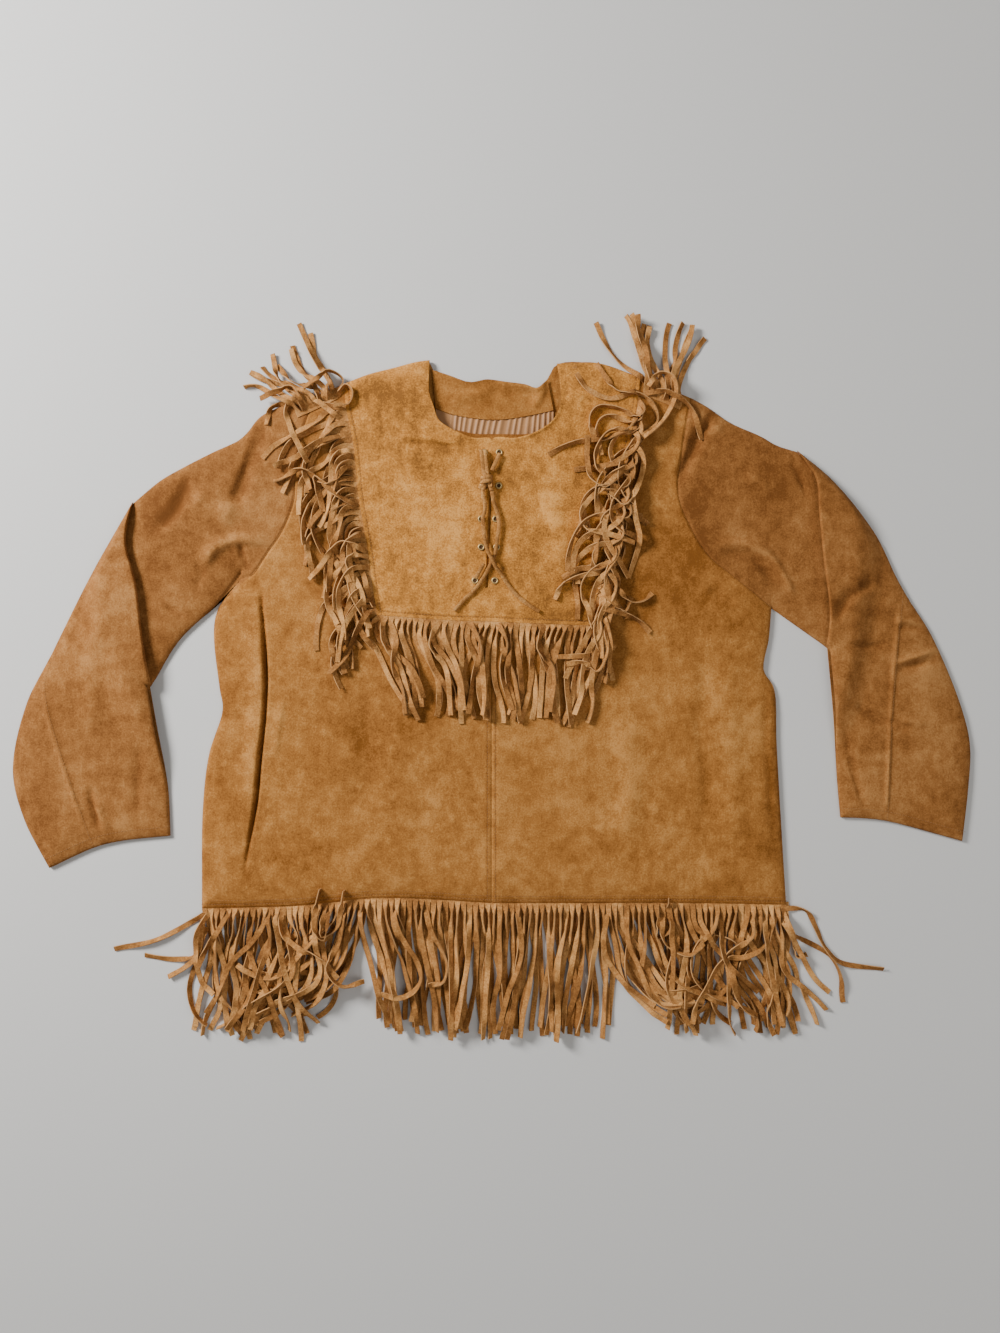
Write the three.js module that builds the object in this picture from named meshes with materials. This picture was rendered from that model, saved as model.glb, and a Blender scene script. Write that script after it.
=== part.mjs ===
// A fringed suede shirt laid flat on its back, front up, in millimetres.
// Left is at -X as seen from above, the neck is at +Y, and the floor is at z = 0.
import * as THREE from 'three';
import { mergeVertices } from 'three/addons/utils/BufferGeometryUtils.js';

// Suede, its layers and how high the front lies off the back
const WALL = 1.4;
const GAP = 0.3;
const LOFT = 7;
const LOFT_REACH = 48;
const FRONT_EDGE_Z = WALL + GAP + WALL / 2;
const BIB_EASE = 0.15;
const BIB_STEP = WALL + GAP + BIB_EASE;
const FOLD_FADE = 30;
const FOLD_END_SHARE = 0.25;

// Cells of the wall grids: across the bib and from it to the side, up the body and its armhole, down the sleeve
const BIB_COLUMNS = 8;
const SIDE_COLUMNS = 7;
const HEM_SEGMENTS = BIB_COLUMNS + SIDE_COLUMNS;
const LOWER_ROWS = 9;
const BELOW_SLIT_ROWS = 1;
const SLIT_ROWS = 5;
const NECKLINE_ROWS = 5;
const ARMHOLE_SEGMENTS = BELOW_SLIT_ROWS + SLIT_ROWS + NECKLINE_ROWS;
const UPPER_SLEEVE_ROWS = 7;
const LOWER_SLEEVE_ROWS = 9;
const NECK_SEGMENTS = 18;

// Body edges, each from the hem up. Columns: x, y
const SIDE_LEFT = [[-332, -268], [-331, -153], [-324, -92], [-308, -39], [-312, -14], [-316, 68], [-286, 110]];
const SIDE_RIGHT = [[338, -264], [333, -184], [327, -79], [324, -16], [312, 6], [318, 40], [321, 76]];
const HEM_LEFT = [[-0.15, -262], [-128, -256], [-220, -265], [-332, -268]];
const HEM_RIGHT = [[0.15, -262], [125, -262], [235, -262], [338, -264]];

// Armhole seams from the underarm up to the shoulder. Columns: x, y
const ARMHOLE_LEFT = [
  [-286, 110], [-274, 113], [-256, 138], [-239, 163], [-225, 199], [-224, 222], [-217, 270], [-202, 320],
];
const ARMHOLE_RIGHT = [
  [321, 76], [273, 114], [247, 136], [224, 174], [213, 206], [217, 252], [222, 285], [228, 317],
];

// Shoulder seams from the neck out, and half necklines from the centre up. Columns: x, y
const SHOULDER_LEFT = [[-71, 360], [-86, 358], [-112, 351], [-140, 344], [-171, 332], [-202, 320]];
const SHOULDER_RIGHT = [[75, 356], [120, 357], [155, 346], [178, 337], [212, 325], [228, 317]];
const NECKLINE_LEFT = [[-20, 269.5], [-44, 279], [-60, 290], [-66, 306], [-71, 322], [-71, 360]];
const NECKLINE_RIGHT = [[28, 269.5], [50, 276], [70, 290], [78, 306], [79, 324], [75, 356]];
const NECK_LOW_Y = 268;
const BACK_NECKLINE = [
  [-71, 360], [-68, 350], [-49, 344], [-25, 336], [-5, 339],
  [17, 336], [39, 333], [52, 329], [64, 339], [75, 356],
];

// Sleeve edges. The fold is the visible edge of the lower sleeve, which lies over the upper one. Columns: x, y
const SLEEVES = [
  {
    name: 'left', side: -1, armhole: ARMHOLE_LEFT,
    upperOuter: [[-202, 320], [-263, 297], [-286, 271], [-319, 255], [-356, 236], [-380, 222], [-411, 196]],
    upperInner: [[-287, 118], [-316, 80], [-359, 39], [-390, -12]],
    fold: [[-411, 196], [-417, 151], [-405, 101], [-398, 43], [-393, -12]],
    lowerOuter: [
      [-411, 196], [-448, 132], [-469, 95], [-507, 18], [-533, -33], [-549, -110], [-536, -166], [-507, -222],
    ],
    lowerInner: [[-393, -12], [-384, -63], [-372, -128], [-369, -185]],
    cuff: [[-507, -222], [-454, -198], [-425, -191], [-369, -185]],
    tuckUnder: [-0.55, -0.83], tuckDepth: [10, 42],
  },
  {
    name: 'right', side: 1, armhole: ARMHOLE_RIGHT,
    upperOuter: [[228, 317], [247, 307], [273, 289], [309, 273], [326, 263], [351, 255]],
    upperInner: [[321, 78], [347, 58], [384, 32]],
    fold: [[351, 255], [370, 223], [374, 181], [379, 128], [386, 68], [386, 30]],
    lowerOuter: [
      [351, 255], [389, 223], [439, 163], [470, 100], [505, 44],
      [540, -41], [549, -83], [547, -129], [540, -191],
    ],
    lowerInner: [[386, 30], [393, -48], [397, -118], [401, -164]],
    cuff: [[540, -191], [453, -168], [428, -165], [401, -164]],
    tuckUnder: [0.6, -0.8], tuckDepth: [10, 34],
  },
];

// Elbow fold: half the spacing of its three layers, and where the lower sleeve comes back down
const FOLD_RADIUS = 1.6;
const FOLD_TURN_STEPS = 4;
const FOLD_SETTLE = [44, 120];

// The bib, a front yoke sewn over both fronts, each edge from the bottom up. Columns: x, y
const BIB_SIDE_LEFT = [[-130, 68], [-135, 100], [-141, 145], [-151, 202], [-157, 262], [-166, 307], [-168, 333]];
const BIB_SIDE_RIGHT = [[115, 56], [122, 100], [134, 145], [145, 202], [157, 262], [167, 316], [170, 339]];
const BIB_BOTTOM_LEFT = [[-1.5, 61], [-44, 62], [-130, 68]];
const BIB_BOTTOM_RIGHT = [[1.5, 61], [17, 60], [115, 56]];
const SLIT_TOP = { x: 1.5, y: NECK_LOW_Y };
const SLIT_END = { x: -5.5, y: 100 };
const SLIT_WIDTH = 3;
const BIB_CORNER_CLEARANCE = 5;

// Folds pressed into the front. Each row: name, height (minus for a trough), width, path of x, y
const FOLDS = [
  ['left tuck', -6.5, 9, [
    [-269, 93], [-259, 34], [-258, 5], [-263, -45], [-267, -100], [-277, -153], [-285, -206]]],
  ['left side roll', 4.5, 15, [[-287, 80], [-284, 20], [-287, -40], [-294, -110], [-305, -190]]],
  ['right side crease', -3.5, 13, [[236, 40], [243, -17], [237, -52], [246, -121], [240, -201]]],
  ['right side ridge', 3, 16, [[268, 40], [272, -60], [276, -150], [270, -220]]],
  ['left shoulder trough', -4, 11, [[-269, 270], [-276, 235], [-286, 201]]],
  ['left arm trough', -3.5, 11, [[-352, 227], [-358, 178], [-392, 172]]],
  ['left underarm ridge', 3.5, 13, [[-335, 127], [-289, 150], [-255, 146]]],
  ['right shoulder trough', -5, 12, [[240, 299], [232, 272], [223, 245]]],
  ['right arm crease', -3.5, 12, [[240, 150], [303, 150], [343, 98]]],
  ['right elbow crease', -3, 10, [[389, 54], [417, 93], [440, 120]]],
  ['right forearm crease', -3, 10, [[459, 7], [490, 16], [523, 23]]],
  ['right wrist crease', -3, 10, [[413, -30], [450, -50], [477, -66]]],
  ['right wrist dent', -3, 10, [[398, -29], [410, -75], [424, -121]]],
  ['left forearm ridge', 2.5, 14, [[-450, 60], [-470, -30], [-478, -120]]],
  ['bib crease', -2, 13, [[-113, 271], [-65, 268], [-25, 258]]],
  ['right neck ridge', 2, 12, [[85, 322], [105, 320], [132, 319]]],
];

// Fringe strands and the narrow strip they are cut from
const STRAND = { width: 5.4, thick: 1.2, steps: 3 };
const STRIP_BREADTH = 4;
const STRIP_GAP = 0.4;

// How length and arch vary from strand to strand: the sway of each, its beat, and the least arch
const VARIATION = { lengthSway: 0.045, lengthBeat: 5.3, leastArch: 0.6, archSway: 0.4, archBeat: 3.7 };

// Each comb of fringe. Rows of its fall: share along the strip, tip dx, tip dy
const FALL_HEM_FRONT = [
  [0, -98, -47], [0.02, -72, -64], [0.05, -44, -100], [0.1, -34, -136], [0.2, -24, -136], [0.26, -16, -92],
  [0.3, 0, -142], [0.5, 0, -150], [0.62, -8, -144], [0.68, 4, -96], [0.75, 32, -108], [0.85, 24, -122],
  [0.94, 36, -122], [0.98, 66, -104], [1, 112, -72],
];
const FALL_HEM_BACK = [
  [0, -30, -96], [0.1, -12, -126], [0.3, 6, -132], [0.55, -6, -138], [0.8, 10, -124], [1, 34, -98],
];
const FALL_BIB_BOTTOM = [
  [0, -32, -85], [0.08, -18, -100], [0.25, -8, -112], [0.5, 0, -113], [0.8, 6, -112], [1, 10, -104],
];
const FALL_BIB_LEFT = [[0, -67, -46], [0.15, -72, -56], [0.4, -56, -72], [0.7, -52, -66], [1, -40, -82]];
const FALL_BIB_RIGHT = [[0, 30, -50], [0.2, 36, -76], [0.5, 40, -68], [0.8, 36, -62], [1, 32, -78]];
const FALL_SHOULDER_LEFT = [[0, -62, -4], [0.2, -66, 30], [0.5, -58, 66], [0.8, -34, 88], [1, -16, 62]];
const FALL_SHOULDER_RIGHT = [[0, -54, 84], [0.25, -30, 86], [0.5, -6, 98], [0.8, 14, 90], [1, 36, 76]];

// Sewn edges of the strips that follow no edge of the bib. Columns: x, y
const BIB_BOTTOM_STRIP = [[-128, 68], [-44, 62], [17, 60], [113, 56]];
const SHOULDER_STRIP_LEFT = [[-222, 296], [-200, 306], [-176, 318]];
const SHOULDER_STRIP_RIGHT = [[174, 322], [194, 314], [216, 305]];

// The combs: strands, their fall, way out of the strip, share of the fall that starts that way,
// lift off the cloth, height of the arch, and the lowest level past the garment's edge
const COMBS = {
  hem_fringe_front: { count: 52, fall: FALL_HEM_FRONT, outward: [0, -1], leave: 1, floorZ: 1.5 },
  hem_fringe_back: { count: 34, fall: FALL_HEM_BACK, outward: [0, -1], leave: 0.6, flat: true },
  bib_fringe_bottom: { count: 23, fall: FALL_BIB_BOTTOM, outward: [-0.03, -1], leave: 0.6, lift: 0.5 },
  bib_fringe_left: { count: 18, fall: FALL_BIB_LEFT, outward: [-0.98, 0.18], leave: 0.2, lift: 0.8, arch: 6 },
  bib_fringe_right: { count: 18, fall: FALL_BIB_RIGHT, outward: [0.97, 0.22], leave: 0.2, lift: 0.8, arch: 8 },
  shoulder_fringe_left: {
    count: 7, fall: FALL_SHOULDER_LEFT, outward: [-0.42, 0.9], leave: 0, lift: 0.1, arch: 10,
  },
  shoulder_fringe_right: {
    count: 6, fall: FALL_SHOULDER_RIGHT, outward: [0.35, 0.93], leave: 0, lift: -0.6, arch: 14,
  },
};

// Eyelets beside the slit. Columns: y, left x, right x
const EYELET_ROWS = [[253, -8, 9], [215, -9.5, 8.5], [177, -11.5, 5], [145, -11.5, 6], [107, -18.5, 4]];
const EYELET = { bore: 2.1, flange: 4.1, thick: 1.1, outerSlope: 0.8, innerSlope: 0.4, segments: 10 };

// Lace: round leather thong, with its two free ends and the stretches held in the eyelets
const LACE = 3.4;
const LACE_SIDES = 8;
const LACE_STEP = 8.5;
const KNOT = { x: -5, y: 219, length: 13, breadth: 9.5, thick: 8, segments: 12, rings: 8 };
// Columns: x, y, lift off the bib
const LACE_END_LEFT = [
  [0.2, 209.5, 2.4], [1.0, 205, 2.2], [2.4, 197, 2.0], [5.6, 188, 1.9], [7.9, 178.5, 2.0], [8.6, 168, 1.9],
  [7, 156, 1.9], [5.6, 146, 1.9], [3.7, 135.5, 1.2], [-0.4, 126.5, 0.6], [-6, 115.5, 0.9], [-12.4, 105, 1.0],
  [-20.8, 94.5, 0.5], [-30.6, 85.5, 0.4], [-42, 72.5, 0.5],
];
const LACE_END_RIGHT = [
  [-9.6, 209.5, 2.6], [-9.8, 204, 2.4], [-7.5, 195, 2.0], [-7.6, 186, 2.0], [-9.8, 178, 2.6], [-9, 166, 2.0],
  [-7.6, 155, 2.4], [-4.4, 141, 4.4], [0.6, 131, 5.6], [5.4, 121.5, 4.4], [10.6, 115.2, 2.2], [18.2, 103, 0.8],
  [27.4, 91.6, 0.4], [39, 81.6, 0.4], [54.4, 71.6, 0.5],
];
// The held stretches. Each row: name, then its points as x, y, lift off the bib
const LACE_STRETCHES = [
  ['lace_stub_left', [[-11.6, 255, 2.2], [-10.6, 245, 2.6], [-9.4, 234, 2.8], [-8.4, 226.8, 2.8]]],
  ['lace_stub_right', [[-7.8, 255, 2.2], [-6.8, 245, 2.6], [-5.6, 234, 2.8], [-4.6, 226.8, 2.8]]],
  ['lace_crossing_top', [[9.6, 251, 2.0], [5, 241.5, 2.4], [0.6, 231.5, 2.6]]],
  ['lace_crossing_low', [[-17.5, 109.5, 2.0], [-13, 118, 2.2], [-8.5, 126, 2.2]]],
];

// Inside the neck, where the back facing meets the lining, and the front facing's strip. Columns: x, y
const INSIDE_NECK_EDGE = [[-64, 305], [-44, 298], [1, 292], [39, 296], [71, 303]];
const BACK_FACING = { rows: 3, drop: 1 };
const LINING = { pleats: 20, depth: 1.7, thick: 1, bottomY: 250, slant: 9 };
const FRONT_FACING_EDGE = [[-40, 277.5], [-20, 269.5], [1, NECK_LOW_Y], [28, 269.5], [42, 273]];
const FRONT_FACING = { breadth: 11, peep: 8, drop: 2.5, columns: 10 };

const SUEDE = { color: 0x9a6230, roughness: 0.95, metalness: 0 };
const BIB_SUEDE = { color: 0xb27a40, roughness: 0.95, metalness: 0 };
const FRINGE_SUEDE = { color: 0x8a5026, roughness: 0.95, metalness: 0 };
const SATIN = { color: 0x9c7a5c, roughness: 0.45, metalness: 0 };
const BRASS = { color: 0xc9b98a, roughness: 0.35, metalness: 0.9 };
const THONG = { color: 0xa9713f, roughness: 0.85, metalness: 0 };

// Points closer than this are one point
const WELD = 1e-3;

const mix = (a, b, t) => a + (b - a) * t;
const clamp01 = (t) => Math.min(1, Math.max(0, t));
const ease = (t) => clamp01(t) ** 2 * (3 - 2 * clamp01(t));

// Evenly spaced points on the smooth curve through a path of x, y
function along(path, segments) {
  const points = path.map(([x, y]) => new THREE.Vector3(x, y, 0));
  const curve = new THREE.CatmullRomCurve3(points, false, 'centripetal');
  return curve.getSpacedPoints(segments).map((p) => [p.x, p.y]);
}

// The same, with as many points as its length needs
const OUTLINE_STEP = 24;
function trace(path) {
  const length = path.slice(1)
    .reduce((sum, [x, y], i) => sum + Math.hypot(x - path[i][0], y - path[i][1]), 0);
  return along(path, Math.ceil(length / OUTLINE_STEP));
}

// The hem from left to right
function hemLine() {
  return [...along(HEM_LEFT, HEM_SEGMENTS).reverse(), ...along(HEM_RIGHT, HEM_SEGMENTS)];
}

// The garment's silhouette, which its front comes down to
function silhouette() {
  const [left, right] = SLEEVES;
  const arm = (sleeve) => [
    ...trace(sleeve.upperInner), ...trace(sleeve.lowerInner), ...trace(sleeve.cuff).reverse(),
    ...trace(sleeve.lowerOuter).reverse(), ...trace(sleeve.upperOuter).reverse(),
  ];
  return [
    ...trace(SIDE_LEFT), ...arm(left), ...trace(SHOULDER_LEFT).reverse(), ...trace(BACK_NECKLINE),
    ...trace(SHOULDER_RIGHT), ...arm(right).reverse(), ...trace(SIDE_RIGHT).reverse(), ...hemLine().reverse(),
  ];
}

function distanceToSegment(x, y, [ax, ay], [bx, by]) {
  const dx = bx - ax;
  const dy = by - ay;
  const share = clamp01(((x - ax) * dx + (y - ay) * dy) / (dx * dx + dy * dy || 1));
  return { distance: Math.hypot(x - ax - share * dx, y - ay - share * dy), share };
}

const OUTLINE = silhouette();

// Distance from the silhouette, positive inside it
function depthInside(x, y) {
  let nearest = Infinity;
  let inside = false;
  OUTLINE.forEach((a, i) => {
    const b = OUTLINE[(i + 1) % OUTLINE.length];
    nearest = Math.min(nearest, distanceToSegment(x, y, a, b).distance);
    const crosses = a[1] > y !== b[1] > y && x < mix(a[0], b[0], (y - a[1]) / (b[1] - a[1]));
    inside = crosses ? !inside : inside;
  });
  return inside ? nearest : -nearest;
}

// How far a fold row lifts the cloth at x, y: a soft ridge that fades at its ends
function foldLift([, height, width, path], x, y) {
  let best = { distance: Infinity, share: 0 };
  for (let i = 0; i + 1 < path.length; i += 1) {
    const { distance, share } = distanceToSegment(x, y, path[i], path[i + 1]);
    if (distance < best.distance) best = { distance, share: (i + share) / (path.length - 1) };
  }
  const fade = ease(best.share / FOLD_END_SHARE) * ease((1 - best.share) / FOLD_END_SHARE);
  return height * fade * Math.exp(-((best.distance / width) ** 2));
}

// Middle of the front wall above the floor
function frontZ(x, y) {
  const inside = Math.max(0, depthInside(x, y));
  const rise = LOFT * Math.sqrt(1 - (1 - clamp01(inside / LOFT_REACH)) ** 2);
  const folds = FOLDS.reduce((sum, fold) => sum + foldLift(fold, x, y), 0) * ease(inside / FOLD_FADE);
  return Math.max(FRONT_EDGE_Z, FRONT_EDGE_Z + rise + folds);
}

const bibZ = (x, y) => frontZ(x, y) + BIB_STEP;

// A grid of x, y filled in between four edges with matching ends
function patch(bottom, top, inner, outer) {
  const rows = inner.length - 1;
  const columns = bottom.length - 1;
  return inner.map((start, i) => bottom.map((low, j) => {
    const v = i / rows;
    const u = j / columns;
    return [0, 1].map((k) => mix(low[k], top[j][k], v) + mix(start[k], outer[i][k], u)
      - mix(mix(bottom[0][k], bottom[columns][k], u), mix(top[0][k], top[columns][k], u), v));
  }));
}

const UP = new THREE.Vector3(0, 0, 1);

// Middle points of a wall over a grid of x, y, with the wall's thickness measured straight up
function drape(grid, zAt) {
  const pointAt = ([x, y]) => ({ middle: new THREE.Vector3(x, y, zAt(x, y)), outward: UP });
  return grid.map((row) => row.map(pointAt));
}

// A closed mesh from corner lists of four, flipped if it came out inside out
function closedMesh(name, corners, quads, finish) {
  const prism = (a, b, c) => corners[a].dot(corners[b].clone().cross(corners[c]));
  const volume = quads.reduce((sum, [a, b, c, d]) => sum + prism(a, b, c) + prism(a, c, d), 0);
  const geometry = new THREE.BufferGeometry();
  const places = corners.flatMap((p) => [p.x, p.y, p.z]);
  geometry.setAttribute('position', new THREE.Float32BufferAttribute(places, 3));
  geometry.setIndex(quads.flatMap(([a, b, c, d]) => (volume < 0 ? [a, c, b, a, d, c] : [a, b, c, a, c, d])));
  const mesh = new THREE.Mesh(geometry, new THREE.MeshStandardMaterial(finish));
  mesh.geometry.computeVertexNormals();
  mesh.name = name;
  return mesh;
}

// A wall round a grid of middle points. Cells that isOpen names are left out, and every free edge gets a rim
function wall(name, points, finish, thickness = WALL, isOpen = () => false) {
  const rows = points.length;
  const columns = points[0].length;
  const corners = [];
  points.forEach((row) => row.forEach(({ middle, outward }) => {
    corners.push(middle.clone().addScaledVector(outward, thickness / 2));
    corners.push(middle.clone().addScaledVector(outward, -thickness / 2));
  }));
  const outer = (i, j) => 2 * (i * columns + j);
  const inner = (i, j) => outer(i, j) + 1;
  const filled = (i, j) => i >= 0 && j >= 0 && i < rows - 1 && j < columns - 1 && !isOpen(i, j);
  const quads = [];
  const rim = (i, j, k, l) => quads.push([outer(k, l), outer(i, j), inner(i, j), inner(k, l)]);
  for (let i = 0; i < rows - 1; i += 1) {
    for (let j = 0; j < columns - 1; j += 1) {
      if (!filled(i, j)) continue;
      quads.push([outer(i, j), outer(i, j + 1), outer(i + 1, j + 1), outer(i + 1, j)]);
      quads.push([inner(i, j), inner(i + 1, j), inner(i + 1, j + 1), inner(i, j + 1)]);
      if (!filled(i - 1, j)) rim(i, j, i, j + 1);
      if (!filled(i, j + 1)) rim(i, j + 1, i + 1, j + 1);
      if (!filled(i + 1, j)) rim(i + 1, j + 1, i + 1, j);
      if (!filled(i, j - 1)) rim(i + 1, j, i, j);
    }
  }
  return closedMesh(name, corners, quads, finish);
}

// A flat panel on the floor, cut to an outline
function flatPanel(name, outline, finish) {
  const shape = new THREE.Shape(outline.map(([x, y]) => new THREE.Vector2(x, y)));
  const geometry = new THREE.ExtrudeGeometry(shape, { depth: WALL, bevelEnabled: false });
  const mesh = new THREE.Mesh(geometry, new THREE.MeshStandardMaterial(finish));
  mesh.name = name;
  return mesh;
}

const shifted = (points, dx, dy) => points.map(([x, y]) => [x + dx, y + dy]);

// The back, one panel from hem to shoulders
function backPanel() {
  const outline = [
    along(SIDE_LEFT, LOWER_ROWS), along(ARMHOLE_LEFT, ARMHOLE_SEGMENTS), trace(SHOULDER_LEFT).reverse(),
    along(BACK_NECKLINE, NECK_SEGMENTS), trace(SHOULDER_RIGHT), along(ARMHOLE_RIGHT, ARMHOLE_SEGMENTS).reverse(),
    along(SIDE_RIGHT, LOWER_ROWS).reverse(), hemLine().reverse(),
  ];
  return flatPanel('back', outline.flatMap((edge) => edge.slice(1)), SUEDE);
}

const FRONTS = [
  {
    name: 'front_left', centreX: -GAP / 2, slitSide: -1, hem: HEM_LEFT, side: SIDE_LEFT, armhole: ARMHOLE_LEFT,
    shoulder: SHOULDER_LEFT, neckline: NECKLINE_LEFT, bibSide: BIB_SIDE_LEFT, bibBottom: BIB_BOTTOM_LEFT,
  },
  {
    name: 'front_right', centreX: GAP / 2, slitSide: 1, hem: HEM_RIGHT, side: SIDE_RIGHT, armhole: ARMHOLE_RIGHT,
    shoulder: SHOULDER_RIGHT, neckline: NECKLINE_RIGHT, bibSide: BIB_SIDE_RIGHT, bibBottom: BIB_BOTTOM_RIGHT,
  },
];

// The part of a front that the bib covers, as a grid of its own
function yokeGrid(front) {
  const { centreX, shoulder, neckline, bibSide, bibBottom } = front;
  const corner = bibSide[bibSide.length - 1];
  const bottom = along([[centreX, bibBottom[0][1]], ...bibBottom.slice(1)], BIB_COLUMNS);
  const covered = shoulder.filter(([x]) => Math.abs(x) < Math.abs(corner[0]) - BIB_CORNER_CLEARANCE);
  const top = along([...covered, corner], BIB_COLUMNS);
  const inner = [
    ...along([bottom[0], [centreX, SLIT_END.y]], BELOW_SLIT_ROWS),
    ...along([[centreX, SLIT_END.y], [centreX, NECK_LOW_Y]], SLIT_ROWS).slice(1),
    ...along([[centreX, NECK_LOW_Y], ...neckline], NECKLINE_ROWS).slice(1),
  ];
  return patch(bottom, top, inner, along(bibSide, ARMHOLE_SEGMENTS));
}

// One front, from the centre seam out to the side and armhole, as four patches round the bib's corner
function frontPanel(front) {
  const yoke = yokeGrid(front);
  const hem = along(front.hem, HEM_SEGMENTS);
  const corner = yoke[0][BIB_COLUMNS];
  const underarm = front.armhole[0];
  const shoulderEnd = front.armhole[front.armhole.length - 1];
  const split = along([hem[BIB_COLUMNS], corner], LOWER_ROWS);
  const level = along([corner, underarm], SIDE_COLUMNS);
  const centre = along([hem[0], yoke[0][0]], LOWER_ROWS);
  const lowerInner = patch(hem.slice(0, BIB_COLUMNS + 1), yoke[0], centre, split);
  const lowerOuter = patch(hem.slice(BIB_COLUMNS), level, split, along(front.side, LOWER_ROWS));
  const shoulderOuter = along([yoke[ARMHOLE_SEGMENTS][BIB_COLUMNS], shoulderEnd], SIDE_COLUMNS);
  const bibEdge = yoke.map((row) => row[BIB_COLUMNS]);
  const upperOuter = patch(level, shoulderOuter, bibEdge, along(front.armhole, ARMHOLE_SEGMENTS));
  const grid = [
    ...lowerInner.slice(0, -1).map((row, i) => [...row, ...lowerOuter[i].slice(1)]),
    ...yoke.map((row, i) => [...row, ...upperOuter[i].slice(1)]),
  ];
  return wall(front.name, drape(grid, frontZ), SUEDE);
}

// The bib, made from the fronts' own points moved out, with a middle column left open along the slit
function bibPanel() {
  const slitShare = (y) => clamp01((y - SLIT_END.y) / (SLIT_TOP.y - SLIT_END.y));
  const slitX = (y) => mix(SLIT_END.x, SLIT_TOP.x, slitShare(y));
  const [left, right] = FRONTS.map((front) => yokeGrid(front).map(([start, ...rest], i) => (
    i > BELOW_SLIT_ROWS + SLIT_ROWS ? [start, ...rest]
      : [[slitX(start[1]) + front.slitSide * SLIT_WIDTH / 2, start[1]], ...rest])));
  const grid = left.map((row, i) => [...row.slice().reverse(), ...right[i]]);
  return wall('bib', drape(grid, bibZ), BIB_SUEDE, WALL, (i, j) => j === BIB_COLUMNS && i >= BELOW_SLIT_ROWS);
}

// Rows of an elbow fold: under, back to the visible edge, and over, as two half turns
function foldRows(edge, sleeve) {
  const [dx, dy] = sleeve.tuckUnder;
  const [shallow, deep] = sleeve.tuckDepth;
  const turn = (centreShare, centreLift, sign) => [...Array(FOLD_TURN_STEPS + 1).keys()].map((step) => {
    const angle = Math.PI * step / FOLD_TURN_STEPS;
    return edge.map(([x, y], j) => {
      const depth = centreShare * mix(shallow, deep, j / (edge.length - 1));
      const reach = depth + sign * FOLD_RADIUS * Math.sin(angle);
      const [px, py] = [x + dx * reach, y + dy * reach];
      const lift = centreLift - FOLD_RADIUS * Math.cos(angle);
      const outward = new THREE.Vector3(-dx * Math.sin(angle), -dy * Math.sin(angle), sign * Math.cos(angle));
      return { middle: new THREE.Vector3(px, py, frontZ(px, py) + lift), outward };
    });
  });
  return [...turn(1, FOLD_RADIUS, 1), ...turn(0, 3 * FOLD_RADIUS, -1)];
}

// The sleeve's upper layer: upper arm, elbow fold and forearm in one wall
function sleeveTop(sleeve) {
  const across = ARMHOLE_SEGMENTS;
  const armhole = shifted(along(sleeve.armhole, across), sleeve.side * GAP, GAP).reverse();
  const outer = along([armhole[0], ...sleeve.upperOuter.slice(1)], UPPER_SLEEVE_ROWS);
  const inner = along([armhole[across], ...sleeve.upperInner.slice(1)], UPPER_SLEEVE_ROWS);
  const ends = [outer[UPPER_SLEEVE_ROWS], inner[UPPER_SLEEVE_ROWS]];
  const fold = along([ends[0], ...sleeve.fold.slice(1, -1), ends[1]], across);
  const upper = drape(patch(armhole, fold, outer, inner), frontZ);
  const foldEnds = [sleeve.lowerOuter[0], ...sleeve.fold.slice(1, -1), sleeve.lowerInner[0]];
  const visible = along(foldEnds, across);
  const lowerEdges = [sleeve.lowerOuter, sleeve.lowerInner].map((path) => along(path, LOWER_SLEEVE_ROWS));
  const lowerGrid = patch(visible, along(sleeve.cuff, across), ...lowerEdges);
  const lower = lowerGrid.slice(1).map((row) => row.map(([x, y], j) => {
    const travelled = Math.hypot(x - visible[j][0], y - visible[j][1]);
    const settled = ease((travelled - FOLD_SETTLE[0]) / (FOLD_SETTLE[1] - FOLD_SETTLE[0]));
    const lift = 4 * FOLD_RADIUS * (1 - settled);
    return { middle: new THREE.Vector3(x, y, frontZ(x, y) + lift), outward: UP };
  }));
  return wall(`sleeve_${sleeve.name}_top`, [...upper, ...foldRows(fold, sleeve), ...lower], SUEDE);
}

// The sleeve's under layer, flat on the floor
function sleeveUnder(sleeve) {
  const armhole = shifted(along(sleeve.armhole, ARMHOLE_SEGMENTS), sleeve.side * GAP, GAP);
  const outline = [
    armhole, along([armhole[ARMHOLE_SEGMENTS], ...sleeve.upperOuter.slice(1)], UPPER_SLEEVE_ROWS),
    along(sleeve.lowerOuter, LOWER_SLEEVE_ROWS), trace(sleeve.cuff), trace(sleeve.lowerInner).reverse(),
    trace([armhole[0], ...sleeve.upperInner.slice(1)]).reverse(),
  ];
  return flatPanel(`sleeve_${sleeve.name}_under`, outline.flatMap((edge) => edge.slice(1)), SUEDE);
}

// Suede that faces the inside of the back neck
function backNeckFacing() {
  const top = shifted(along(BACK_NECKLINE, NECK_SEGMENTS).slice(1, -1), 0, -BACK_FACING.drop);
  const low = along(INSIDE_NECK_EDGE, top.length - 1);
  const rows = [...Array(BACK_FACING.rows + 1).keys()].map((row) => {
    const share = row / BACK_FACING.rows;
    return low.map((p, j) => [mix(p[0], top[j][0], share), mix(p[1], top[j][1], share)]);
  });
  return wall('back_neck_facing', drape(rows, () => FRONT_EDGE_Z), SUEDE);
}

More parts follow.
